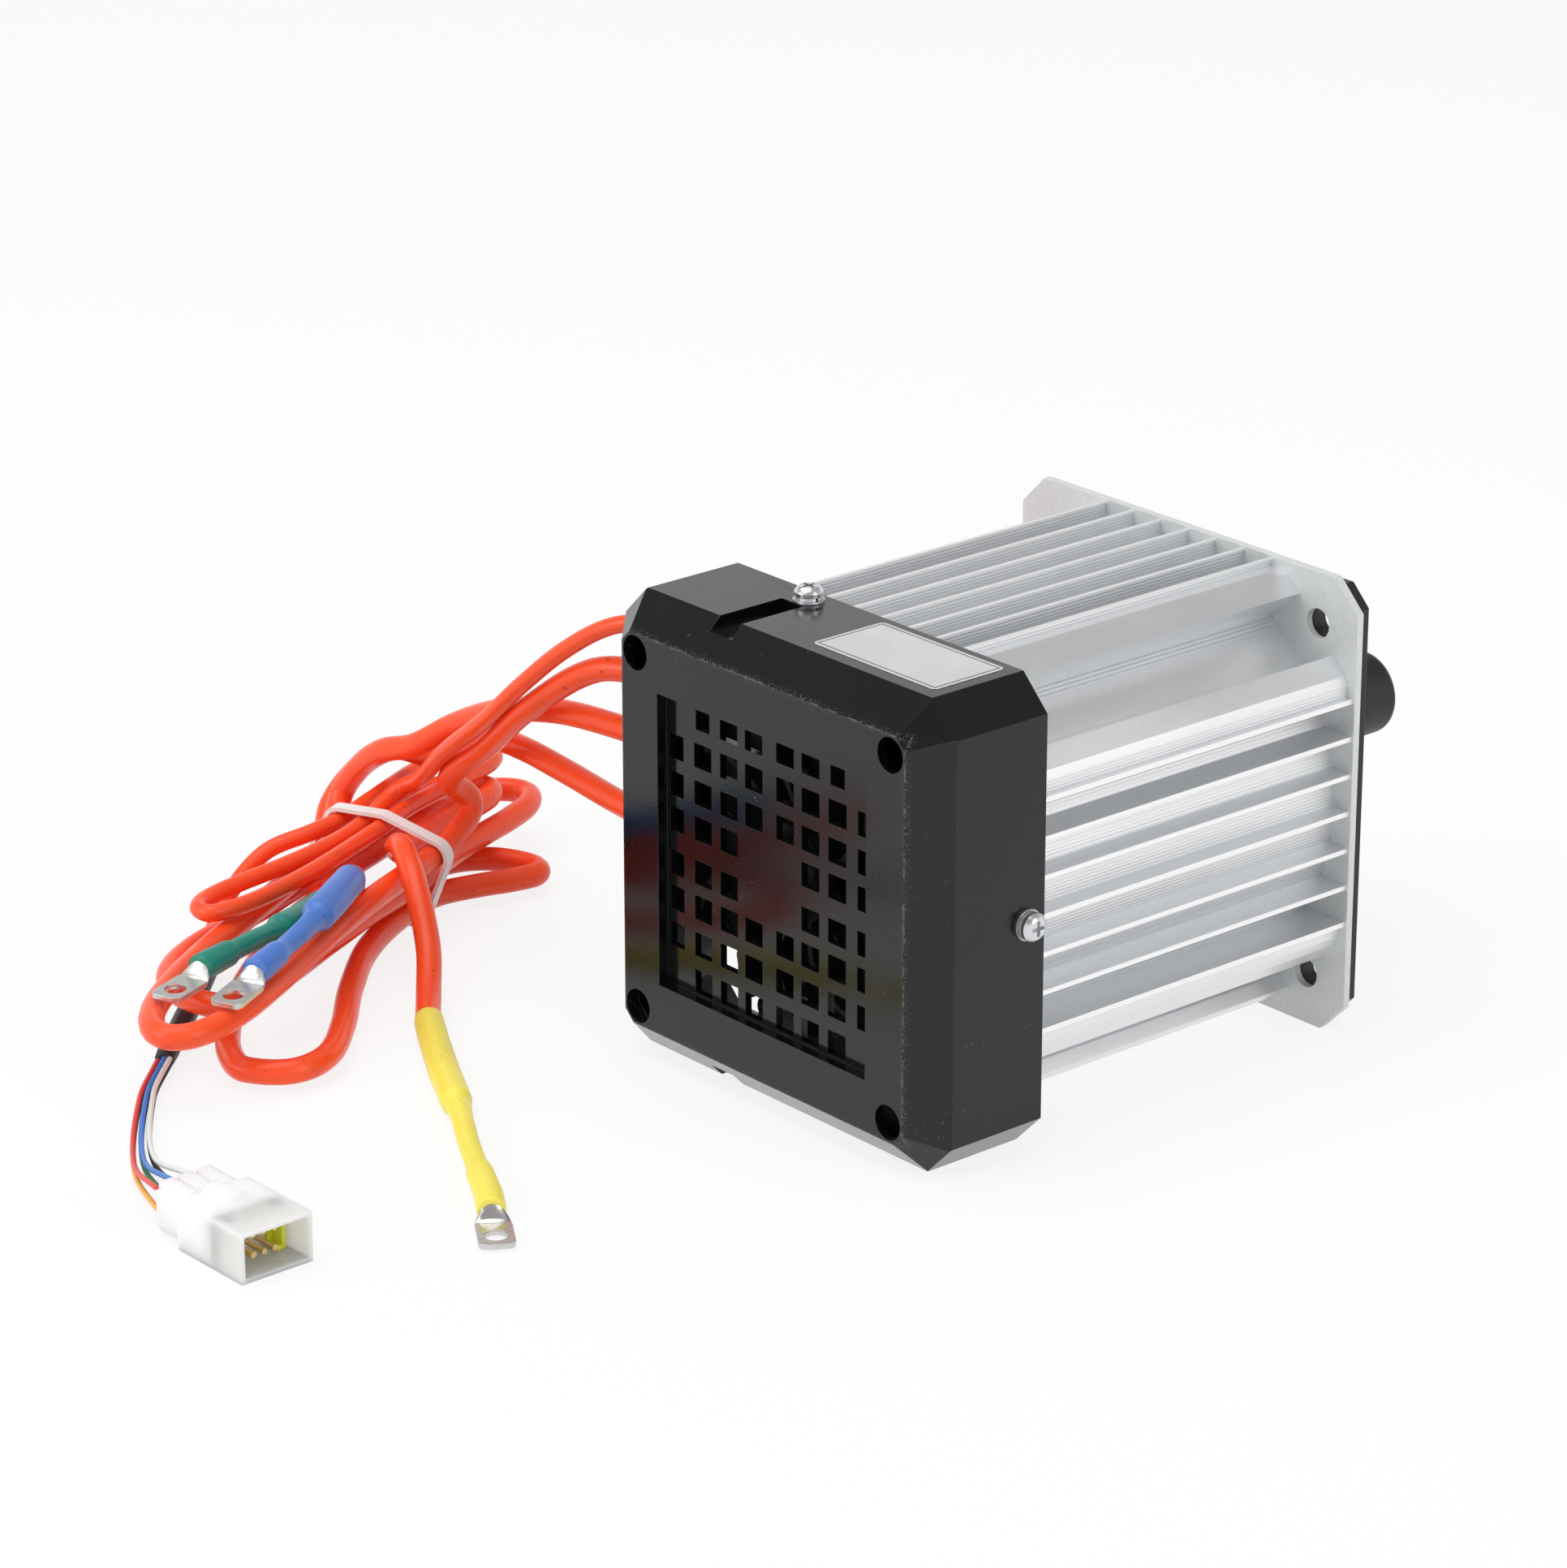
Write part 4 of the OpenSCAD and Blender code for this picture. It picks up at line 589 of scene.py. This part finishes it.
def shrink(table, d, seed):
    """The wall of a shrunk sleeve: its profile, and low folds where it has drawn in."""
    def radius(share, angle):
        drawn = eased(DRAWN, share)
        fold = math.sin(3 * angle + seed + 9 * share) * 0.6 + math.sin(5 * angle - seed + 14 * share) * 0.4
        wave = noise.noise(Vector((6 * share + seed, math.cos(angle), math.sin(angle)))) * WAVE_HEIGHT
        return d / 2 * (eased(table, share) + FOLD_HEIGHT * drawn * fold + wave * (0.4 + drawn))
    return radius


# A ring lug's tongue, in millimetres from the sleeve's end: along it, half its width, its hole and underside
TONGUE = {"start": 6.6, "end": 21, "half": 5.2, "corner": 2.4, "hole_x": 15.2, "hole_r": 3.25, "low": -3.3,
          "t": 1.6}
# How far each lug dips, in degrees, and how much wider than the cord each sleeve is
LUG_PITCH = {"blue": 4, "green": 2, "yellow": 0}
SLEEVE_FAT = {"blue": 1.32, "green": 1.28, "yellow": 1.22}
# The barrel's sections: along, width, height and middle height, in millimetres, and its pressed creases
BARREL = [(-4, 6.4, 6.4, 0), (3, 6.6, 6.6, 0), (3.6, 7.0, 5.6, -0.5), (4.3, 8.4, 4.4, -1.1),
          (5.0, 9.2, 3.6, -1.5), (5.7, 9.9, 2.5, -2.05), (6.6, 10.35, 1.7, -2.45), (7.6, 10.3, 1.5, -2.52)]
CREASED, CREASE_HEIGHT = range(2, 6), 0.12
LUG_ROUNDING = 0.22
# How far a sleeve reaches over its lug's barrel, the spacing of its rings, and that of a cord's measuring
SLEEVE_OVER, SLEEVE_STEP, CORD_STEP = 0.0036, 0.0013, 0.002
# The cord's thickness inside its sleeve, and the sleeve's inner rim, as shares of the cord's
STRIPPED, RIM = 0.6, 0.3


def tongue_outline(sides=72):
    """The tongue's rim and its hole's rim, point by point at the same angles round the hole."""
    t, out = TONGUE, []
    for k in range(sides):
        a = 2 * math.pi * k / sides
        c, n = math.cos(a), math.sin(a)
        ends = [(t[end] - t["hole_x"]) / c for end in ("end", "start") if abs(c) > TINY]
        sideways = [t["half"] / abs(n)] if abs(n) > TINY else []
        far = min([v for v in ends if v > 0] + sideways)
        x, y = t["hole_x"] + far * c, far * n
        over = Vector((x - (t["end"] - t["corner"]), abs(y) - (t["half"] - t["corner"])))
        if over.x > 0 and over.y > 0 and over.length > t["corner"]:
            over *= t["corner"] / over.length
            x, y = t["end"] - t["corner"] + over.x, math.copysign(t["half"] - t["corner"] + over.y, y)
        out.append(((x, y), (t["hole_x"] + t["hole_r"] * c, t["hole_r"] * n)))
    return out


def lug_piece(name, place, way, pitch, material, sides=32):
    """A tinned ring lug: a pressed barrel that flattens into a tongue with a round hole."""
    bm = bmesh.new()
    rings = []
    for i, (x, w, h, z) in enumerate(BARREL):
        ring = []
        for k in range(sides):
            a = 2 * math.pi * k / sides
            crease = CREASE_HEIGHT * math.sin(6 * a + 2 * i) if i in CREASED else 0.0
            ring.append(bm.verts.new((x, math.cos(a) * w / 2, z + math.sin(a) * (h / 2 + crease))))
        rings.append(ring)
    for a, b in zip(rings, rings[1:]):
        band(bm, a, b)
    bm.faces.new(rings[0])
    bm.faces.new(rings[-1])
    rims = [[bm.verts.new((*p[j], TONGUE["low"] + up * TONGUE["t"])) for p in tongue_outline()]
            for up in (0, 1) for j in (0, 1)]
    outer_low, inner_low, outer_high, inner_high = rims
    band(bm, outer_low, inner_low)
    band(bm, outer_high, inner_high)
    band(bm, outer_low, outer_high)
    band(bm, inner_low, inner_high)
    turn = Matrix.Rotation(math.atan2(way.y, way.x), 4, "Z") @ Matrix.Rotation(math.radians(pitch), 4, "Y")
    bmesh.ops.transform(bm, matrix=Matrix.Translation(place) @ turn @ Matrix.Scale(MM, 4), verts=bm.verts)
    lug = new_mesh(name, bm, material)
    soften(lug, LUG_ROUNDING, weld=False, angle=35)
    return lug, turn @ Vector((1, 0, 0))


SLEEVE_LOOKS = {"blue": "blue", "green": "green", "yellow": "yellow", "sensor": "boot"}


def make_cords():
    for seed, (name, c) in enumerate(CORDS.items()):
        points, start = cord_points(c)
        radii = [1.0 if i <= start else STRIPPED for i in range(len(points))]
        stem = name if name == "sensor" else name + "_phase"
        cord = curve_piece("cord_" + name, points, c["d"], MATERIALS["silicone"], radii)
        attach(cord, "housing")
        loop = "sensor_loop" if name == "sensor" else stem + "_loop"
        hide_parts(stem + "_lead", loop, stem + "_tail")
        path = smooth_path(points, start, len(points) - 1, SLEEVE_STEP)
        walls = sleeve_walls(SLEEVE_FAT[name]) if name in LUG_PITCH else BOOT
        if name in LUG_PITCH:
            lug, ahead = lug_piece("lug_" + name, path[-1], path[-1] - path[-2], LUG_PITCH[name],
                                   MATERIALS["tin"])
            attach(lug, "housing")
            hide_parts(name + "_ring_lug")
            path += [path[-1] + ahead * SLEEVE_OVER * share for share in (0.33, 0.67, 1)]
        sleeve = tube_piece("sleeve_" + name, path, shrink(walls, c["d"], seed),
                            MATERIALS[SLEEVE_LOOKS[name]], hole=c["d"] * RIM)
        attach(sleeve, "housing")
        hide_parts(name + "_sleeve")
        length = line_length(smooth_path(points, 0, len(points) - 1, CORD_STEP))


make_cords()

# Six thin wires from the boot to the plug: their middle route, and each column's and row's distance from it
# along that route, in millimetres
WIRE_D, WIRE_STEP = 0.0016, 0.001
WIRE_ROUTE = [(-136, -287.5, -67.4), (-120, -305, -68.9), (-84, -331, -68.9), (-53, -342, -63.5),
              (-47, -342, -63.5)]
WIRE_SPREAD = [(2.4, 0.9), (2.4, 0.9), (3.4, 1.0), (6.2, 3.1), (6.2, 3.1)]
WIRE_LOOKS = ["wire_yellow", "wire_red", "wire_green", "wire_blue", "wire_black", "wire_white"]


def make_wires():
    for column in range(3):
        for row in range(2):
            look = WIRE_LOOKS[column * 2 + row]
            points = [Vector(p) * MM + Vector((0, (column - 1) * s[0], (row * 2 - 1) * s[1])) * MM
                      for p, s in zip(WIRE_ROUTE, WIRE_SPREAD)]
            wire = curve_piece(look, points, WIRE_D, MATERIALS[look], steps=16, sides=4)
            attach(wire, "housing")
            if column == row == 0:
                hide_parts("sensor_wires")
            length = line_length(smooth_path(points, 0, len(points) - 1, WIRE_STEP))


make_wires()

# Steps round each of a plate's corners, and its rounding as a share of its thickness
CORNER_STEPS, PLATE_ROUNDING = 6, 0.35


def plate_piece(name, low, high, z, thick, corner, material):
    """A thin flat plate with round corners."""
    bm = bmesh.new()
    ring = []
    for cx, cy, first in ((high[0] - corner, high[1] - corner, 0), (low[0] + corner, high[1] - corner, 90),
                          (low[0] + corner, low[1] + corner, 180), (high[0] - corner, low[1] + corner, 270)):
        for k in range(CORNER_STEPS + 1):
            a = math.radians(first + k * 90 / CORNER_STEPS)
            ring.append(bm.verts.new((cx + corner * math.cos(a), cy + corner * math.sin(a), z)))
    face = bm.faces.new(ring)
    made = bmesh.ops.extrude_face_region(bm, geom=[face])["geom"]
    bmesh.ops.translate(bm, verts=[g for g in made if isinstance(g, bmesh.types.BMVert)], vec=(0, 0, thick))
    obj = new_mesh(name, bm, material, smooth=False)
    m = obj.modifiers.new("edges", "BEVEL")
    m.width, m.segments = thick * PLATE_ROUNDING, 2
    return obj


# The bare silver plate on the cover's top, its thin border line and how far in that runs
LABEL_LOW, LABEL_HIGH = (0.0058, -0.1602), (0.057, -0.1336)
LABEL_Z, LABEL_THICK, LABEL_CORNER = 0.07102, 0.00018, 0.0018
BORDER_IN, BORDER_HALF, BORDER_FADE = 0.0013, 0.0002, 0.00036
SILVER, SILVER_LINES, BORDER = (0.68, 0.685, 0.69), (0.62, 0.625, 0.63), (0.05, 0.05, 0.052)


def label_look():
    look = Look("label_silver", SILVER, 0.34, 0.5)
    lines = look.noise(1, 3, GRIT, look.scaled(60, 2400, 60))
    look.tint(look.step(lines, 0.35, 0.7, 0, 0.5), SILVER_LINES)
    look.rough(look.noise(90, 3), 0.28, 0.42)
    part = look.parts()
    inside = []
    for axis, low, high in zip("XY", LABEL_LOW, LABEL_HIGH):
        off_middle = look.maths("ABSOLUTE", look.maths("SUBTRACT", part[axis], (high + low) / 2))
        inside.append(look.maths("SUBTRACT", (high - low) / 2, off_middle))
    off = look.maths("ABSOLUTE", look.maths("SUBTRACT", look.maths("MINIMUM", *inside), BORDER_IN))
    look.tint(look.step(off, BORDER_HALF, BORDER_FADE, 0.9, 0), BORDER)
    look.bump(look.noise(160, 3), 0.12, 0.0003)
    return look.material


label = plate_piece("label_plate", LABEL_LOW, LABEL_HIGH, LABEL_Z, LABEL_THICK, LABEL_CORNER, label_look())
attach(label, "housing")

# Floor, world and lights: the share of the floor that glows where it is seen, the light all round, and the
# ceiling's in gloss, which takes over from the pale walls' between two heights of the reflected way
FLOOR_RADIUS, FLOOR_GAP, FLOOR_COLOUR, FLOOR_GLOW = 9, 0.0001, 0.9, 0.84
AMBIENT, CEILING = 0.52, 0.38
CEILING_FROM, CEILING_FULL = 0.3, 0.58


def make_floor():
    bm = bmesh.new()
    bmesh.ops.create_circle(bm, cap_ends=True, radius=FLOOR_RADIUS, segments=96)
    floor = new_mesh("floor", bm, bpy.data.materials.new("floor_white"), smooth=False)
    floor.location = (0, 0, FLOOR - FLOOR_GAP)
    material = floor.data.materials[0]
    material.use_nodes = True
    tree = material.node_tree
    tree.nodes.clear()
    add = tree.nodes.new
    diffuse, glow = add("ShaderNodeBsdfDiffuse"), add("ShaderNodeEmission")
    mixed = add("ShaderNodeMixShader")
    path, out = add("ShaderNodeLightPath"), add("ShaderNodeOutputMaterial")
    most, share = add("ShaderNodeMath"), add("ShaderNodeMath")
    diffuse.inputs["Color"].default_value = (FLOOR_COLOUR, FLOOR_COLOUR, FLOOR_COLOUR, 1)
    glow.inputs["Color"].default_value = (1, 1, 1, 1)
    most.operation, share.operation = "MAXIMUM", "MULTIPLY"
    share.inputs[1].default_value = FLOOR_GLOW
    link = tree.links.new
    link(path.outputs["Is Camera Ray"], most.inputs[0])
    link(path.outputs["Is Glossy Ray"], most.inputs[1])
    link(most.outputs[0], share.inputs[0])
    link(share.outputs[0], mixed.inputs[0])
    link(diffuse.outputs[0], mixed.inputs[1])
    link(glow.outputs[0], mixed.inputs[2])
    link(mixed.outputs[0], out.inputs["Surface"])


def make_world():
    world = bpy.data.worlds.new("studio")
    bpy.context.scene.world = world
    world.use_nodes = True
    tree = world.node_tree
    back = tree.nodes["Background"]
    back.inputs["Color"].default_value = (1, 1, 1, 1)
    path = tree.nodes.new("ShaderNodeLightPath")
    most, strength, shine = (tree.nodes.new("ShaderNodeMath") for _ in range(3))
    most.operation = strength.operation = "MAXIMUM"
    shine.operation = "MULTIPLY_ADD"
    shine.inputs[2].default_value = AMBIENT
    way = tree.nodes.new("ShaderNodeSeparateXYZ")
    height = tree.nodes.new("ShaderNodeMapRange")
    height.interpolation_type = "SMOOTHSTEP"
    heights = {"From Min": CEILING_FROM, "From Max": CEILING_FULL, "To Min": 1 - AMBIENT,
               "To Max": CEILING - AMBIENT}
    for key, value in heights.items():
        height.inputs[key].default_value = value
    link = tree.links.new
    link(tree.nodes.new("ShaderNodeTexCoord").outputs["Generated"], way.inputs[0])
    link(way.outputs["Z"], height.inputs["Value"])
    link(path.outputs["Is Glossy Ray"], shine.inputs[0])
    link(height.outputs["Result"], shine.inputs[1])
    link(path.outputs["Is Camera Ray"], most.inputs[0])
    link(path.outputs["Is Transmission Ray"], most.inputs[1])
    link(most.outputs[0], strength.inputs[0])
    link(shine.outputs[0], strength.inputs[1])
    link(strength.outputs[0], back.inputs["Strength"])


def area_light(name, place, target, width, height, power):
    data = bpy.data.lights.new(name, "AREA")
    data.shape = "RECTANGLE"
    data.size, data.size_y, data.energy = width, height, power
    obj = bpy.data.objects.new(name, data)
    bpy.context.scene.collection.objects.link(obj)
    obj.location = place
    obj.rotation_euler = (Vector(target) - Vector(place)).to_track_quat("-Z", "Y").to_euler()


# Each lamp's place, target, width, height and power
LAMPS = {
    "top_box": ((-0.3, -0.5, 1.7), (-0.05, -0.12, 0), 1.6, 1.6, 16),
    "right_box": ((1.7, 0.3, 0.9), (0, -0.1, 0), 1.0, 1.4, 9.5),
    "front_box": ((-0.6, -1.8, 0.8), (0, -0.15, 0), 1.2, 1.0, 10),
}
make_floor()
make_world()
for name, lamp in LAMPS.items():
    area_light(name, *lamp)

bpy.context.scene.view_settings.view_transform = "Standard"
